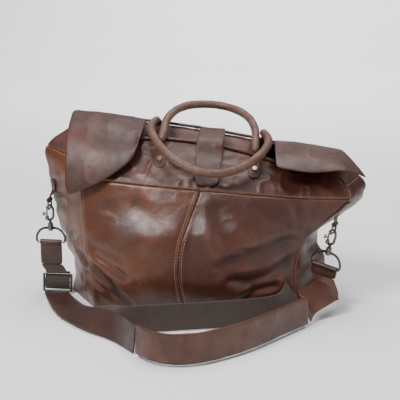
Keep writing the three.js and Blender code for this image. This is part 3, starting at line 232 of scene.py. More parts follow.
# Folds in mm, with width and depth: lines of x and z in front and behind, of y and z at the sides.
FRONT_FOLDS = [
    ([(-196, 84), (-168, 72), (-140, 50), (-112, 18), (-100, 0)], 7, 4.5),
    ([(-176, 58), (-150, 40), (-126, 14)], 5, 3.2),
    ([(-158, 92), (-136, 84), (-112, 66)], 5, 2.4),
    ([(-188, 118), (-160, 104), (-130, 100)], 8, 1.6),
    ([(40, 88), (70, 100), (104, 108), (140, 122)], 9, 3.4),
    ([(58, 66), (84, 60), (112, 66), (140, 84)], 8, 3.6),
    ([(72, 30), (92, 46), (120, 50)], 6, 4.0),
    ([(30, 172), (36, 150), (44, 128), (60, 106)], 11, 2.2),
    ([(-14, 120), (-40, 108), (-78, 100)], 14, 1.6),
    ([(-96, 176), (-70, 158), (-48, 130)], 12, 1.5),
    ([(96, 176), (112, 160), (140, 150)], 9, 1.6),
    ([(150, 176), (160, 150), (172, 128)], 6, 1.8),
]
FRONT_SWELLS = [  # middle x and z, spread x and z, height, all mm
    (-55, 150, 34, 40, 3.0),
    (26, 150, 16, 40, 2.4),
    (-120, 120, 40, 34, 2.6),
    (-90, 56, 40, 26, 2.4),
    (90, 140, 36, 26, 2.2),
    (14, 60, 36, 30, 2.0),
    (60, 40, 22, 20, 1.6),
]


BACK_FOLDS = [
    ([(-150, 90), (-100, 60), (-40, 52)], 10, 2.6),
    ([(150, 120), (90, 96), (40, 60)], 11, 2.6),
    ([(-160, 170), (-110, 140)], 9, 1.8),
    ([(20, 150), (80, 130), (130, 130)], 12, 1.6),
]
SIDE_FOLDS = [
    ([(-60, 215), (-20, 190), (20, 180)], 6, 2.0),
    ([(-62, 120), (-30, 100), (0, 96), (40, 70)], 7, 2.2),
    ([(-50, 40), (0, 60), (50, 30)], 7, 2.2),
    ([(-30, 160), (20, 140), (60, 150)], 6, 1.6),
]


def sculpt(p, n, yoke=0.0):
    """How far the leather stands out from its smooth shape, in metres."""
    front = np.clip(-n[..., 1] * 3, 0, 1)
    side = np.clip(np.abs(n[..., 0]) * 1.6 - 0.4, 0, 1)
    back = np.clip(n[..., 1] * 3, 0, 1)
    d = (lattice(p, 0.07, 1) - 0.5) * 3.2 + (lattice(p, 0.032, 2) - 0.5) * 1.1
    d += (ridged(p, 0.024, 3) ** 3) * 0.55 - 0.1
    folds = creased(p, FRONT_FOLDS, (0, 2))
    for x, z, sx, sz, h in FRONT_SWELLS:
        folds = folds + h * np.exp(-(((p[..., 0] / MM - x) / sx) ** 2) - ((p[..., 2] / MM - z) / sz) ** 2)
    seam_x = np.interp(p[..., 2], [0, HEIGHT], SEAM_LEAN)
    folds = folds - SEAM_DIP * np.exp(-(((p[..., 0] - seam_x) / SEAM_DIP_WIDE) ** 2)) * (yoke == 0)
    d = d + folds * front * (1 - yoke)
    d = d + back * (1 - yoke) * creased(p, BACK_FOLDS, (0, 2))
    d = d + side * creased(p, SIDE_FOLDS, (1, 2))
    stretched = p * np.array([1.0, 1.0, 0.45])
    ribs = (ridged(stretched, 0.016, 5) ** 3) * 2.4 + (ridged(p, 0.028, 6) ** 3) * 1.6 - 1.0
    d = d + yoke * ribs
    return d * MM * np.clip(p[..., 2] / FLOOR_FADE, 0, 1)


# ---------------------------------------------------------------- mesh helpers
def make(name, verts, faces):
    me = bpy.data.meshes.new(name)
    me.from_pydata([tuple(v) for v in verts], [], faces)
    me.update()
    me.polygons.foreach_set("use_smooth", [True] * len(me.polygons))
    ob = bpy.data.objects.new(name, me)
    bpy.context.scene.collection.objects.link(ob)
    return ob


def grid_slab(name, outer, inner):
    """A closed slab between two grids of points."""
    rows, cols = outer.shape[:2]
    n = rows * cols
    verts = np.concatenate([outer.reshape(-1, 3), inner.reshape(-1, 3)])
    j, i = np.meshgrid(np.arange(rows - 1), np.arange(cols - 1), indexing="ij")
    a = (j * cols + i).ravel()
    top = np.stack([a, a + 1, a + cols + 1, a + cols], -1)
    low = top[:, ::-1] + n
    faces = [*top.tolist(), *low.tolist()]
    edge = [*range(cols)]
    edge += [k * cols + cols - 1 for k in range(1, rows)]
    edge += [(rows - 1) * cols + k for k in range(cols - 2, -1, -1)]
    edge += [k * cols for k in range(rows - 2, 0, -1)]
    for k, e in enumerate(edge):
        f = edge[(k + 1) % len(edge)]
        faces.append([e, e + n, f + n, f])
    return make(name, verts, faces)


def paint(ob, name, values):
    """A number at each point, which the leather reads by name."""
    a = ob.data.attributes.get(name) or ob.data.attributes.new(name, "FLOAT", "POINT")
    a.data.foreach_set("value", np.asarray(values, np.float32).ravel())


SEAM_TRIM = 0.00035  # half the gap between sewn panels
EDGE_FADE = 0.012  # folds die away this near a seam
EDGE_ROUND = 0.0016  # radius of a turned edge
EDGE_TURN = 0.0011  # how far a turned edge falls back
EDGE_CROWD = 0.035  # rows crowd towards the seams
WEAR_REACH = 0.0035  # rubbed leather beside a seam
SAMPLES = 60  # points that measure a panel


def crowded(count):
    """Shares from 0 to 1, closer together at both ends, so that a turned edge is round."""
    k = np.linspace(0, 1, count)
    return k + EDGE_CROWD * -np.sin(2 * np.pi * k)


def panel(name, u0, u1, t0, t1, step=0.0026, yoke=0.0):
    """One sewn panel, with its edges turned in at the seams."""
    mid_t, mid_u = (t0 + t1) / 2, (u0 + u1) / 2
    across = body(np.linspace(u0, u1, SAMPLES), np.full(SAMPLES, mid_t))
    upward = body(np.full(SAMPLES, mid_u), np.linspace(t0, t1, SAMPLES))
    width = np.linalg.norm(np.diff(across, axis=0), axis=-1).sum()
    height = np.linalg.norm(np.diff(upward, axis=0), axis=-1).sum()
    trim_u = SEAM_TRIM * (u1 - u0) / width
    trim_t = SEAM_TRIM * (t1 - t0) / height
    trim_low = trim_t if t0 > 0 else 0
    cols, rows = int(width / step), int(height / step)
    u = u0 + trim_u + (u1 - u0 - 2 * trim_u) * crowded(cols)
    t = (t0 + trim_low) + (t1 - t0 - trim_t - trim_low) * crowded(rows)
    T, U = np.meshgrid(t, u, indexing="ij")
    p = body(U, T)
    n, reach = mitred(U, T)
    folds = sculpt(p, n, yoke)
    du = np.linalg.norm(np.diff(p, axis=1), axis=-1)
    dt = np.linalg.norm(np.diff(p, axis=0), axis=-1)
    left = np.concatenate([np.zeros((rows, 1)), np.cumsum(du, 1)], 1)
    right = left[:, -1:] - left
    low = np.concatenate([np.zeros((1, cols)), np.cumsum(dt, 0)], 0)
    high = low[-1:] - low
    ends = [left, right, high] + ([low] if t0 > 0 else [])
    edge = np.minimum.reduce(ends)
    faded = folds * (0.25 + 0.75 * np.clip(edge / EDGE_FADE, 0, 1))
    e = np.clip(edge / EDGE_ROUND, 0, 1)
    turn = EDGE_TURN * (1 - np.sqrt(np.clip(1 - (1 - e) ** 2, 0, 1)))
    pucker = 0.00035 * np.exp(-((edge / 0.005) ** 2)) * (lattice(p, 0.006, 9) - 0.3)
    outer = p + n * ((faded - turn + pucker) * reach)[..., None]
    inner = p + n * ((faded - LEATHER + turn * 0.6) * reach)[..., None]
    ob = grid_slab(name, outer, inner)
    wear_and_highlight = np.exp(-((edge / WEAR_REACH) ** 2)) * (0.35 + 0.65 * lattice(p, 0.02, 12))
    # Ridges standing out more than 1.8 mm are painted paler as well: a painted highlight added to the real
    # wear beside the seams.
    wear_and_highlight = np.clip(wear_and_highlight + np.clip(folds / MM - 1.8, 0, 2) * 0.16, 0, 1)
    # Painted shade: valleys of the folds deeper than 0.8 mm are painted darker.
    dark = np.clip(-(folds / MM) - 0.8, 0, 3) / 3
    paint(ob, "wear_and_highlight", np.concatenate([wear_and_highlight.ravel(), wear_and_highlight.ravel() * 0]))
    # The inner faces are painted a flat 0.4 darker.
    paint(ob, "dark", np.concatenate([dark.ravel(), dark.ravel() * 0 + 0.4]))
    return ob


def evaluated_mesh(ob):
    dg = bpy.context.evaluated_depsgraph_get()
    return bpy.data.meshes.new_from_object(ob.evaluated_get(dg))


def soft_copy(node, name, cuts=0, levels=2, puff=0.0, rough=0.0, size=0.02, seed=3, hold=0.0):
    """A finer piece in the space of a CAD node: merged, subdivided, smoothed and creased."""
    bm = bmesh.new()
    bm.from_mesh(NODES[node].data)
    bmesh.ops.remove_doubles(bm, verts=bm.verts, dist=1e-5)
    bmesh.ops.join_triangles(bm, faces=bm.faces, angle_face_threshold=0.9, angle_shape_threshold=1.2)
    if hold:
        layer = bm.edges.layers.float.new("crease_edge")
        for edge in bm.edges:
            if len(edge.link_faces) == 2 and edge.calc_face_angle(0) > 0.7:
                edge[layer] = hold
    if cuts:
        bmesh.ops.subdivide_edges(bm, edges=bm.edges, cuts=cuts, use_grid_fill=True)
    me = bpy.data.meshes.new(name)
    bm.to_mesh(me)
    bm.free()
    ob = bpy.data.objects.new(name, me)
    bpy.context.scene.collection.objects.link(ob)
    sub = ob.modifiers.new("sub", "SUBSURF")
    sub.levels = sub.render_levels = levels
    fine = evaluated_mesh(ob)
    ob.modifiers.clear()
    ob.data = fine
    fine.polygons.foreach_set("use_smooth", [True] * len(fine.polygons))
    if puff or rough:
        co = np.zeros(len(fine.vertices) * 3)
        no = np.zeros(len(fine.vertices) * 3)
        fine.vertices.foreach_get("co", co)
        fine.vertices.foreach_get("normal", no)
        co, no = co.reshape(-1, 3), no.reshape(-1, 3)
        waves = (lattice(co, size, seed) - 0.5) * 1.4
        move = puff + rough * (waves + ridged(co, size * 0.6, seed + 1) ** 3 * 0.5 - 0.2)
        fine.vertices.foreach_set("co", (co + no * move[:, None]).ravel())
        fine.update()
        paint(ob, "wear_and_highlight", np.clip(lattice(co, size * 0.5, seed + 2) * 1.6 - 1.0, 0, 1) * 0.5)
        # Painted shade: the noise that presses the surface in also paints it darker, so the hollows are
        # painted darker.
        paint(ob, "dark", np.clip(0.5 - lattice(co, size, seed), 0, 1))
    else:
        paint(ob, "wear_and_highlight", np.zeros(len(fine.vertices)))
        paint(ob, "dark", np.zeros(len(fine.vertices)))
    return ob


def put(ob, material, bodies, nodes):
    ob.data.materials.clear()
    ob.data.materials.append(material)
    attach(ob, bodies)
    if nodes:
        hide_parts(*nodes)
    return ob


# ---------------------------------------------------------------- thread
def stitches(name, path, normals, pitch=0.0042, length=0.0030, radius=0.00032, lift=0.0002):
    """Sewing thread as one mesh: a short rounded stitch at each pitch along the path."""
    path = np.asarray(path, float)
    normals = unit(np.asarray(normals, float))
    seg = np.linalg.norm(np.diff(path, axis=0), axis=-1)
    dist = np.concatenate([[0], np.cumsum(seg)])
    verts, faces = [], []
    sides, rings = 6, 5
    for s in np.arange(pitch / 2, dist[-1] - pitch / 2, pitch):
        rows = []
        for k in range(rings):
            w = s + length * (k / (rings - 1) - 0.5)
            c = np.array([np.interp(w, dist, path[:, a]) for a in range(3)])
            n = unit(np.array([np.interp(w, dist, normals[:, a]) for a in range(3)]))
            w2 = min(w + 0.0005, dist[-1])
            ahead = unit(np.array([np.interp(w2, dist, path[:, a]) for a in range(3)]) - c + 1e-9)
            x = unit(np.cross(n, ahead))
            bow = math.sin(math.pi * k / (rings - 1))
            c = c + n * (lift + radius * (1.5 * bow - 0.6))
            r = radius * (0.55 + 0.45 * bow)
            turns = np.linspace(0, 2 * math.pi, sides, endpoint=False)
            rows.append([c + r * (math.cos(a) * x + math.sin(a) * n) for a in turns])
        base = len(verts)
        for row in rows:
            verts.extend(row)
        for k in range(rings - 1):
            for i in range(sides):
                a, b = base + k * sides + i, base + k * sides + (i + 1) % sides
                faces.append([a, b, b + sides, a + sides])
        faces.append([base + i for i in range(sides - 1, -1, -1)])
        faces.append([base + (rings - 1) * sides + i for i in range(sides)])
    return make(name, verts, faces)


def surface(obs):
    """A finder of the nearest place on some pieces."""
    verts, polys = [], []
    for ob in obs:
        base = len(verts)
        verts += [tuple(ob.matrix_world @ v.co) for v in ob.data.vertices]
        polys += [[base + i for i in f.vertices] for f in ob.data.polygons]
    return BVHTree.FromPolygons(verts, polys)


def shoot(tree, points, direction):
    """Where rays along the direction meet the surface: places and normals."""
    spots, normals = [], []
    d = Vector(direction).normalized()
    for p in points:
        hit, n, _, _ = tree.ray_cast(Vector(p) - d * 0.3, d)
        if hit is None:
            continue
        if n.dot(d) > 0:
            n = -n
        spots.append(list(hit))
        normals.append(list(n))
    return spots, normals


# ---------------------------------------------------------------- materials
def nodes_of(name):
    m = bpy.data.materials.new(name)
    m.use_nodes = True
    t = m.node_tree
    bsdf = t.nodes["Principled BSDF"]
    return m, t, bsdf


def mix(t, fac, a, b, blend="MIX"):
    n = t.nodes.new("ShaderNodeMix")
    n.data_type = "RGBA"
    n.blend_type = blend
    for socket, value in ((n.inputs[0], fac), (n.inputs[6], a), (n.inputs[7], b)):
        if isinstance(value, bpy.types.NodeSocket):
            t.links.new(value, socket)
        else:
            rgb = isinstance(value, tuple) and len(value) == 3
            socket.default_value = (*value, 1) if rgb else value
    return n.outputs[2]


def ramp(t, value, low, high, out_low=0.0, out_high=1.0):
    n = t.nodes.new("ShaderNodeMapRange")
    n.inputs[1].default_value, n.inputs[2].default_value = low, high
    n.inputs[3].default_value, n.inputs[4].default_value = out_low, out_high
    t.links.new(value, n.inputs[0])
    return n.outputs[0]


def noise(t, coords, scale, detail=4.0, rough=0.55):
    n = t.nodes.new("ShaderNodeTexNoise")
    n.inputs["Scale"].default_value = scale
    n.inputs["Detail"].default_value = detail
    n.inputs["Roughness"].default_value = rough
    t.links.new(coords, n.inputs["Vector"])
    return n.outputs[0]


def bump(t, height, strength, distance, normal=None):
    n = t.nodes.new("ShaderNodeBump")
    n.inputs["Strength"].default_value = strength
    n.inputs["Distance"].default_value = distance
    t.links.new(height, n.inputs["Height"])
    if normal is not None:
        t.links.new(normal, n.inputs["Normal"])
    return n.outputs[0]


def leather(name, base, warm, dark, worn, gloss=0.34, grain=1.0, coat=0.1, scratches=1.0, tone=9.0):
    """Oiled leather: uneven tone, painted shade in folds and hollows, pale rubbed edges with a painted
    highlight on ridges, fine grain and scuffs.
    """
    m, t, bsdf = nodes_of(name)
    co = t.nodes.new("ShaderNodeTexCoord").outputs["Object"]
    big = noise(t, co, tone, 3.0)
    mid = noise(t, co, 38.0 * tone / 9.0 if tone < 20 else 130.0, 5.0, 0.62)
    fine = noise(t, co, 260.0, 4.0, 0.6)
    colour = mix(t, ramp(t, big, 0.38, 0.64), base, warm)
    colour = mix(t, ramp(t, mid, 0.42, 0.72, 0, 0.55), colour, dark)
    # The dark attribute is painted shade in fold valleys, hollows and deep in the mouth, and a flat
    # darkening of inner faces.
    attr_dark = t.nodes.new("ShaderNodeAttribute")
    attr_dark.attribute_name = "dark"
    colour = mix(t, ramp(t, attr_dark.outputs["Fac"], 0, 1, 0, 0.75), colour, dark)
    # Real rubbed edges plus a painted highlight on ridges, mixed towards the pale colour.
    attr_wear_and_highlight = t.nodes.new("ShaderNodeAttribute")
    attr_wear_and_highlight.attribute_name = "wear_and_highlight"
    rub_and_highlight = t.nodes.new("ShaderNodeMath")
    rub_and_highlight.operation = "MULTIPLY"
    t.links.new(attr_wear_and_highlight.outputs["Fac"], rub_and_highlight.inputs[0])
    t.links.new(ramp(t, fine, 0.35, 0.65, 0.25, 1.0), rub_and_highlight.inputs[1])
    colour = mix(t, ramp(t, rub_and_highlight.outputs[0], 0.05, 0.9, 0, 0.7), colour, worn)
    # thin pale scratches: stretched noise with a narrow band
    mp = t.nodes.new("ShaderNodeMapping")
    mp.inputs["Rotation"].default_value = (0.3, 0.5, 0.9)
    mp.inputs["Scale"].default_value = (1.0, 1.0, 7.0)
    t.links.new(co, mp.inputs["Vector"])
    line = noise(t, mp.outputs[0], 16.0, 6.0, 0.7)
    band = ramp(t, line, 0.67, 0.71, 0, 1.0)
    colour = mix(t, ramp(t, band, 0, 1, 0, 0.16 * scratches), colour, worn)
    t.links.new(colour, bsdf.inputs["Base Color"])
    rough_in = ramp(t, mid, 0.3, 0.7, gloss - 0.07, gloss + 0.13)
    t.links.new(rough_in, bsdf.inputs["Roughness"])
    bsdf.inputs["Coat Weight"].default_value = coat
    bsdf.inputs["Coat Roughness"].default_value = 0.32
    bsdf.inputs["Specular IOR Level"].default_value = 0.42
    cells = t.nodes.new("ShaderNodeTexVoronoi")
    cells.feature = "DISTANCE_TO_EDGE"
    cells.inputs["Scale"].default_value = 620.0
    t.links.new(co, cells.inputs["Vector"])
    n1 = bump(t, ramp(t, cells.outputs["Distance"], 0, 0.25), 0.16 * grain, 0.0004)
    crinkle = noise(t, co, 95.0, 6.0, 0.68)
    n2 = bump(t, crinkle, 0.28 * grain, 0.0012, n1)
    n3 = bump(t, mid, 0.3, 0.003, n2)
    t.links.new(n3, bsdf.inputs["Normal"])
    return m


def webbing(name, base, light, pitch, axis):
    """Ribbed webbing: ribs across one axis and fine yarn across the other."""
    m, t, bsdf = nodes_of(name)
    co = t.nodes.new("ShaderNodeTexCoord").outputs["Object"]
    ribs = t.nodes.new("ShaderNodeTexWave")
    ribs.bands_direction = axis
    ribs.wave_profile = "SIN"
    ribs.inputs["Scale"].default_value = 0.314 / pitch
    ribs.inputs["Distortion"].default_value = 0.35
    ribs.inputs["Detail Scale"].default_value = 30.0
    t.links.new(co, ribs.inputs["Vector"])
    yarn = noise(t, co, 900.0, 2.0)
    tone = noise(t, co, 30.0, 4.0)
    # Rib crests take the light colour and grooves the dark one: painted highlight and painted shade on the
    # ribs.
    colour = mix(t, ramp(t, ribs.outputs["Fac"], 0.1, 0.9), base, light)
    colour = mix(t, ramp(t, tone, 0.4, 0.7, 0, 0.4), colour, tuple(x * 0.6 for x in base))
    colour = mix(t, ramp(t, yarn, 0.45, 0.7, 0, 0.25), colour, tuple(min(1, x * 1.7) for x in light))
    t.links.new(colour, bsdf.inputs["Base Color"])
    bsdf.inputs["Roughness"].default_value = 0.78
    bsdf.inputs["Sheen Weight"].default_value = 0.25
    bsdf.inputs["Sheen Roughness"].default_value = 0.5
    n1 = bump(t, ribs.outputs["Fac"], 0.7, 0.0006)
    n2 = bump(t, yarn, 0.35, 0.0003, n1)
    t.links.new(n2, bsdf.inputs["Normal"])
    return m


def metal(name, base, edge, rough):
    m, t, bsdf = nodes_of(name)
    co = t.nodes.new("ShaderNodeTexCoord").outputs["Object"]
    spots = noise(t, co, 160.0, 5.0, 0.65)
    geo = t.nodes.new("ShaderNodeNewGeometry")
    point = ramp(t, geo.outputs["Pointiness"], 0.5, 0.6)
    colour = mix(t, ramp(t, spots, 0.5, 0.72, 0, 0.6), base, edge)
    colour = mix(t, ramp(t, point, 0, 1, 0, 0.6), colour, edge)
    t.links.new(colour, bsdf.inputs["Base Color"])
    bsdf.inputs["Metallic"].default_value = 0.95
    t.links.new(ramp(t, spots, 0.3, 0.7, rough - 0.08, rough + 0.14), bsdf.inputs["Roughness"])
    t.links.new(bump(t, noise(t, co, 700.0, 3.0), 0.12, 0.0003), bsdf.inputs["Normal"])
    return m


def plain_cloth(name, base):
    m, t, bsdf = nodes_of(name)
    co = t.nodes.new("ShaderNodeTexCoord").outputs["Object"]
    weave = noise(t, co, 1100.0, 2.0)
    tone = noise(t, co, 40.0, 3.0)
    colour = mix(t, ramp(t, tone, 0.35, 0.7), base, tuple(x * 1.8 for x in base))
    t.links.new(colour, bsdf.inputs["Base Color"])
    bsdf.inputs["Roughness"].default_value = 0.85
    t.links.new(bump(t, weave, 0.4, 0.0003), bsdf.inputs["Normal"])
    return m


# Each leather: base, warm, dark and pale colour, then how it differs from the plain one. The dark colour
# also paints shade in folds and hollows; the pale one paints real wear and a painted highlight on ridges.
LEATHERS = {
    "leather_brown": (
        (0.048, 0.0138, 0.0085), (0.074, 0.0215, 0.0115), (0.012, 0.0042, 0.0034), (0.20, 0.09, 0.052), {},
    ),
    # A lighter, warmer copy of the brown leather: painted light on the panels that face the key light.
    "leather_tan": (
        (0.062, 0.0185, 0.0095), (0.118, 0.0350, 0.0125), (0.017, 0.0060, 0.0045), (0.26, 0.12, 0.062), {},
    ),
    "leather_yoke": (
        (0.044, 0.0112, 0.0070), (0.072, 0.0190, 0.0100), (0.013, 0.0042, 0.0034), (0.20, 0.082, 0.048),
        {"gloss": 0.42, "coat": 0.06},
    ),
    "leather_flap": (
        (0.040, 0.0108, 0.0070), (0.064, 0.0175, 0.0095), (0.013, 0.0042, 0.0034), (0.19, 0.082, 0.048),
        {"gloss": 0.46, "coat": 0.04},
    ),
    "leather_dark": (
        (0.034, 0.0125, 0.0090), (0.056, 0.0190, 0.0115), (0.010, 0.0045, 0.0035), (0.18, 0.085, 0.055),
        {"gloss": 0.42},
    ),
    "leather_pad": (
        (0.056, 0.0180, 0.0105), (0.092, 0.0300, 0.0150), (0.020, 0.0070, 0.0050), (0.32, 0.17, 0.11),
        {"gloss": 0.4, "scratches": 2.0},
    ),
    "leather_grip": (
        (0.115, 0.066, 0.049), (0.110, 0.040, 0.019), (0.022, 0.0095, 0.0065), (0.34, 0.22, 0.14),
        {"gloss": 0.52, "coat": 0.05, "scratches": 3.0, "tone": 26.0},
    ),
    "leather_facing": (
        (0.060, 0.0200, 0.0130), (0.085, 0.027, 0.0150), (0.022, 0.0080, 0.0060), (0.2, 0.1, 0.06),
        {"gloss": 0.5},
    ),
}
BROWN, LIT_TAN, YOKE, FLAP, DARK, PAD, GRIP, FACING = (
    leather(name, *colours, **how) for name, (*colours, how) in LEATHERS.items()
)
WEB_DARK, WEB_LIGHT, WEB_PITCH = (0.018, 0.0095, 0.0062), (0.050, 0.0290, 0.0190), 0.0024
WEB = webbing("webbing_ribbed", WEB_DARK, WEB_LIGHT, WEB_PITCH, "X")
WEB_FLAT = webbing("webbing_flat", WEB_DARK, WEB_LIGHT, WEB_PITCH, "Z")
METAL = metal("dark_metal", (0.030, 0.027, 0.025), (0.22, 0.20, 0.18), 0.34)
BRASS = metal("brass", (0.38, 0.26, 0.13), (0.70, 0.58, 0.36), 0.3)
THREAD = plain_cloth("thread", (0.16, 0.085, 0.05))
THREAD_PALE = plain_cloth("thread_pale", (0.25, 0.16, 0.11))
BOARD = plain_cloth("stiffener", (0.02, 0.017, 0.015))

# ---------------------------------------------------------------- body
walls = [
    # The front left panel and the left gusset take the lighter copy of the brown leather, painted light on
    # the side towards the key light.
    ("front_left", 0, CENTRE_SEAM, 0, SEAM, LIT_TAN, "front_panel_left", "leather_tan"),
    ("front_right", CENTRE_SEAM, 1, 0, SEAM, BROWN, "front_panel_right", "leather_brown"),
    ("back_right", 2, 3 - CENTRE_SEAM, 0, SEAM, BROWN, "back_panel_right", "leather_brown"),
    ("back_left", 3 - CENTRE_SEAM, 3, 0, SEAM, BROWN, "back_panel_left", "leather_brown"),
    ("gusset_right", 1, 2, 0, POINT, BROWN, "right_gusset", "leather_brown"),
    ("gusset_left", 3, 4, 0, POINT, LIT_TAN, "left_gusset", "leather_tan"),
    ("gusset_top_right", 1, 2, POINT, RIM, YOKE, "right_gusset_top", "leather_dark"),
    ("gusset_top_left", 3, 4, POINT, RIM, YOKE, "left_gusset_top", "leather_dark"),
]
skin = {}
for name, u0, u1, t0, t1, material, node, slot_name in walls:
    piece = panel("skin_" + name, u0, u1, t0, t1)
    skin[name] = put(piece, material, "bag", [node])
for name, u0, u1, node in (("yoke_front", 0, 1, "front_yoke"), ("yoke_rear", 2, 3, "rear_yoke")):
    piece = panel("skin_" + name, u0, u1, SEAM, RIM, step=0.0022, yoke=1.0)
    skin[name] = put(piece, YOKE, "bag", [node])

front_tree = surface([skin["front_left"], skin["front_right"], skin["yoke_front"]])
back_tree = surface([skin["back_left"], skin["back_right"], skin["yoke_rear"]])


def sew_on(name, xz, tree=front_tree, way=(0, 1, 0), material=THREAD, **how):
    """Thread laid on the leather where rays through those x and z meet it."""
    spots, normals = shoot(tree, [(x * MM, 0, z * MM) for x, z in xz], way)
    if len(spots) > 3:
        put(stitches(name, spots, normals, **how), material, "bag", [])


def run_points(u, t, du=0.0):
    """x and z in mm along a run of the wall, moved off by du."""
    p = body(u + du, t)
    return [(x / MM, z / MM) for x, _, z in p]


COARSE = {"pitch": 0.0052, "length": 0.0038, "radius": 0.00042, "material": THREAD_PALE}
FINE = {"pitch": 0.0040, "length": 0.0029, "radius": 0.00034}
BEHIND = {"tree": back_tree, "way": (0, -1, 0)}
for k, off in enumerate((-0.016, 0.016)):
    t = np.linspace(0.25, SEAM - 0.12, 90)
    u = np.full(t.shape, CENTRE_SEAM)
    sew_on(f"thread_centre_{k}", run_points(u, t, du=off), **COARSE)
    sew_on(f"thread_back_centre_{k}", run_points(3 - u, t, du=off), **BEHIND, **COARSE)
u = np.linspace(0.02, 0.98, 160)
t = np.full(u.shape, SEAM + 0.09)
sew_on("thread_yoke", run_points(u, t), **FINE)
sew_on("thread_yoke_back", run_points(3 - u, t), **BEHIND, **FINE)

for node, name in (("front_rim", "welt_front"), ("rear_rim", "welt_rear")):
    welt = soft_copy(node, name, levels=2, puff=0.0005, rough=0.0005, size=0.012)
    put(welt, YOKE, "bag", [node])
put(soft_copy("base_panel", "skin_base", levels=0), DARK, "bag", ["base_panel"])

FACING_RUN = (2.30, 2.94)  # u along the rear rim
FACING_INSET = 0.0045  # starts this far inside the rim
FACING_FORWARD, FACING_FALL = 0.021, 0.019  # how far it slumps
FACING_HALF = 0.0007


def mouth_facing():
    """Leather facing that slumps forward from the rear rim into the mouth."""
    K, U = np.meshgrid(np.linspace(0, 1, 12), np.linspace(*FACING_RUN, 130), indexing="ij")
    top = np.full(U.shape, RIM - 0.02)
    rim = body(U, top)
    sway = 0.75 + 0.5 * lattice(rim, 0.05, 31)
    slump = np.stack([0 * K, -FACING_FORWARD * K * sway, 0.001 - FACING_FALL * K**1.5], -1)
    drop = rim - body_normal(U, top) * FACING_INSET + slump
    ripple = ridged(drop * np.array([1.0, 0.3, 0.3]), 0.02, 32) ** 2 - 0.4
    fall = ripple * 0.0022 * np.minimum(1, K * 3)
    over = drop + np.stack([0 * K, -0.4 * fall, fall], -1)
    piece = grid_slab("mouth_facing", over + [0, 0, FACING_HALF], over - [0, 0, FACING_HALF])
    paint(piece, "wear_and_highlight", np.concatenate([(K**6).ravel() * 0.5, K.ravel() * 0]))
    # Painted shade: the facing is painted darker the further it slumps down into the mouth.
    paint(piece, "dark", np.concatenate([np.clip(K - 0.55, 0, 1).ravel() * 1.2, K.ravel() * 0]))
    put(piece, FACING, "bag", [])


mouth_facing()

REAR_LEFT, REAR_RIGHT = 0.84, 0.9  # ends of the rear rim, as shares of the half length
LEFT_FOLD, RIGHT_FOLD = 0.12, 0.08  # from each end to the crease of its gusset, likewise
WEB_HALF = 0.0008
WEB_BELOW = 0.0012  # the web ends this far under the hinge line


def rear_u(x):
    """u of the rear rim at x, which runs on round the gussets past its ends."""
    s = (x / HALF + REAR_LEFT) / (REAR_LEFT + REAR_RIGHT)
    u = 3 - np.clip(s, 0, 1)
    u = np.where(s < 0, 3 + np.clip((-REAR_LEFT - x / HALF) / LEFT_FOLD, 0, 1) / 2, u)
    return np.where(s > 1, 2 - np.clip((x / HALF - REAR_RIGHT) / RIGHT_FOLD, 0, 1) / 2, u)


def collar(name, xs, hinge_y, hinge_z):
    """Leather web from the rear rim up to the hinge line of a flap."""
    x = np.linspace(xs[0], xs[-1], 50)
    top = np.stack([x, np.interp(x, xs, hinge_y), np.interp(x, xs, hinge_z) - WEB_BELOW], -1)
    foot = body(rear_u(x), np.full(x.shape, RIM)) - [0, 0.001, 0]
    web = np.stack([foot * (1 - k) + top * k for k in np.linspace(0, 1, 6)])
    piece = grid_slab(name, web + [0, WEB_HALF, 0], web - [0, WEB_HALF, 0])
    put(piece, YOKE, "bag", [])


HINGE_WINDOW = 0.009  # points this close in x are compared
HINGE_STRIP = 0.004  # points this close to the rearmost one are the hinge edge


def wing_line(node, xs):
    """Heights of the underside of a flap's hinge edge at those x."""
    co = np.array([v.co for v in NODES[node].data.vertices])
    heights = []
    for x in xs:
        here = co[np.abs(co[:, 0] - x) < HINGE_WINDOW]
        back = here[here[:, 1] > here[:, 1].max() - HINGE_STRIP]
        heights.append(back[:, 2].min())
    return heights


# Each wing, with x and y of its hinge line.
for node, xs, ys in (
    ("left_wing", (-0.215, -0.160, -0.100), (0.0142, 0.017, 0.017)),
    ("right_wing", (0.114, 0.171, 0.215), (0.016, 0.013, 0.0078)),
):
    collar("collar_" + node, xs, ys, wing_line(node, xs))

# ---------------------------------------------------------------- flaps
left_wing = soft_copy("left_wing", "flap_left", levels=3, rough=0.0016, size=0.05, seed=4)
put(left_wing, FLAP, "left_wing", ["left_wing"])
right_wing = soft_copy("right_wing", "flap_right", levels=3, rough=0.0014, size=0.045, seed=6)
put(right_wing, FLAP, "right_wing", ["right_wing"])
tab = soft_copy("closure_tab", "flap_tab", levels=2, rough=0.0010, size=0.02, seed=8)
put(tab, FLAP, "bag", ["closure_tab"])
for side in ("left", "right"):
    for end in ("front", "rear"):
        node = f"{end}_handle_tab_{side}"
        piece = soft_copy(node, f"chape_{end}_{side}", levels=2, rough=0.0004, size=0.01)
        put(piece, FLAP, "bag", [node])

# ---------------------------------------------------------------- handles
for node in ("front_handle", "rear_handle"):
    piece = soft_copy(node, "grip_" + node, levels=2, puff=0.0003, rough=0.0006, size=0.014, seed=11)
    put(piece, GRIP, node, [node])

# ---------------------------------------------------------------- strap
def strap(node, name, material, rough=0.0004, size=0.02):
    """A length of the strap, whose edges stay sharp as it is made finer."""
    piece = soft_copy(node, name, levels=3, rough=rough, size=size, seed=21, hold=0.85)
    return put(piece, material, "bag", [node])


WEAVE = 0.0024  # how far the webbing swings in front of and behind the bars
SLIDER_SIDE = 0.0046  # side bar of the slider, with room
SLIDER_LEAN = 0.12  # lean of the slider, as depth over height


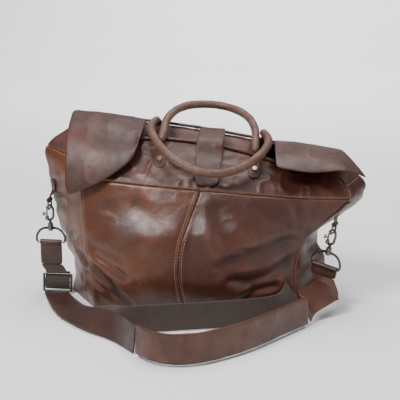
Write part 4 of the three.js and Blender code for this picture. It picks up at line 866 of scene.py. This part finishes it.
def webbing_through_slider():
    """Webbing in front of the middle bar of the three-bar slider and behind the other two."""
    low, high = (np.array(v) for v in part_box("strap_slider"))
    xs = np.linspace(low[0] + SLIDER_SIDE, high[0] - SLIDER_SIDE, 24)
    rows = []
    for k in np.linspace(0, 1, 40):
        z = high[2] + 0.003 - k * (high[2] - low[2] - 0.002)
        weave = WEAVE * math.cos(2 * math.pi * (z - low[2]) / (high[2] - low[2]))
        middle = (low[1] + high[1]) / 2 + (z - (low[2] + high[2]) / 2) * SLIDER_LEAN
        rows.append([(x, middle + weave, z) for x in xs])
    rows = np.array(rows)
    piece = grid_slab("strap_through_slider", rows - [0, 0.0008, 0], rows + [0, 0.0008, 0])
    put(piece, WEB_FLAT, "bag", [])


strap("strap_outer_left", "strap_leather_left", DARK)
strap("strap_outer_right", "strap_leather_right", PAD)
strap("strap_inner", "strap_webbing", WEB)
strap("pad_backing", "strap_backing", WEB)
strap("strap_link_left", "strap_link", WEB_FLAT)
webbing_through_slider()
pad = strap("shoulder_pad", "strap_pad", PAD, rough=0.0007, size=0.03)
for side in ("left", "right"):
    strap(f"strap_end_{side}", f"strap_chape_{side}", DARK, rough=0.0002)
    strap(f"{side}_ring_tab", f"ring_chape_{side}", DARK, rough=0.0002)
puller = soft_copy("zip_puller", "zip_tongue", cuts=1, levels=1)
put(puller, DARK, "zip_puller", ["zip_puller"])

# ---------------------------------------------------------------- hardware and zip
ROUNDED = ("ring", "hook", "loop", "rivet", "strap_slider")
for node, ob in NODES.items():
    if ob.hide_render:
        continue
    if "zip_tape" in node:
        material = FACING
    elif "rivet" in node:
        material = BRASS
    elif node == "base_board":
        material = BOARD
    else:
        material = METAL
    ob.data.materials.clear()
    ob.data.materials.append(material)
    if any(word in node for word in ROUNDED):
        rounder = ob.modifiers.new("round", "BEVEL")
        rounder.width = 0.0003
        rounder.segments = 2
        rounder.limit_method = "ANGLE"
        ob.data.polygons.foreach_set("use_smooth", [True] * len(ob.data.polygons))

# ---------------------------------------------------------------- floor, light, camera
SWEEP_WIDE, SWEEP_FRONT, SWEEP_LONG, SWEEP_ROWS = 6.0, -3.0, 8.0, 24
SWEEP_TURN = 2.6  # y where the paper starts to rise
SWEEP_RISE = 2.4


def studio():
    """White paper under and behind the bag."""
    m, t, bsdf = nodes_of("studio_paper")
    co = t.nodes.new("ShaderNodeTexCoord").outputs["Object"]
    tone = noise(t, co, 2.0, 2.0)
    colour = mix(t, ramp(t, tone, 0.3, 0.7), (0.80, 0.797, 0.793), (0.83, 0.828, 0.825))
    t.links.new(colour, bsdf.inputs["Base Color"])
    bsdf.inputs["Roughness"].default_value = 0.75
    rows = []
    for x in (-SWEEP_WIDE, SWEEP_WIDE):
        for k in range(SWEEP_ROWS + 1):
            y = SWEEP_FRONT + SWEEP_LONG * (k / SWEEP_ROWS)
            past = max(0.0, y - SWEEP_TURN)
            rows.append((x, y, SWEEP_RISE * (past / SWEEP_RISE) ** 2.4 - 0.0002))
    far = SWEEP_ROWS + 1
    faces = [[k, k + 1, k + 1 + far, k + far] for k in range(SWEEP_ROWS)]
    ob = make("studio_sweep", rows, faces)
    ob.data.materials.append(m)


def area(name, place, aim, size, power, colour=(1, 1, 1)):
    data = bpy.data.lights.new(name, "AREA")
    data.shape = "RECTANGLE"
    data.size, data.size_y = size
    data.energy = power
    data.color = colour
    ob = bpy.data.objects.new(name, data)
    ob.location = place
    ob.rotation_mode = "QUATERNION"
    ob.rotation_quaternion = (Vector(aim) - Vector(place)).to_track_quat("-Z", "Y")
    bpy.context.scene.collection.objects.link(ob)


studio()
# Each light: place, aim, size and power.
area("key", (-0.75, -1.2, 1.6), (-0.03, 0, 0.15), (0.7, 0.5), 46)
area("top", (0.15, 0.35, 1.9), (0, 0.2, 0.1), (1.6, 1.2), 36)
area("fill", (1.6, -1.0, 0.8), (0, 0, 0.15), (1.2, 1.2), 7)
area("backdrop", (0.0, 2.0, 2.2), (0, 3.8, 0.6), (3.0, 1.0), 160)
world = bpy.data.worlds.new("studio")
bpy.context.scene.world = world
world.use_nodes = True
world.node_tree.nodes["Background"].inputs[0].default_value = (0.93, 0.94, 0.96, 1)
world.node_tree.nodes["Background"].inputs[1].default_value = 0.32

AZIMUTH, ELEVATION, DISTANCE = 7.0, 14.0, 1.75
SENSOR, LENS = 36.0, 95.4545  # mm
TARGET = Vector((-0.008, 0.0, 0.163))
data = bpy.data.cameras.new("camera")
data.sensor_width = SENSOR
data.lens = LENS
camera = bpy.data.objects.new("camera", data)
bpy.context.scene.collection.objects.link(camera)
a, e = math.radians(AZIMUTH), math.radians(ELEVATION)
back = Vector((math.sin(a) * math.cos(e), -math.cos(a) * math.cos(e), math.sin(e)))
camera.location = TARGET + back * DISTANCE
camera.rotation_mode = "QUATERNION"
camera.rotation_quaternion = (-back).to_track_quat("-Z", "Y")
bpy.context.scene.camera = camera
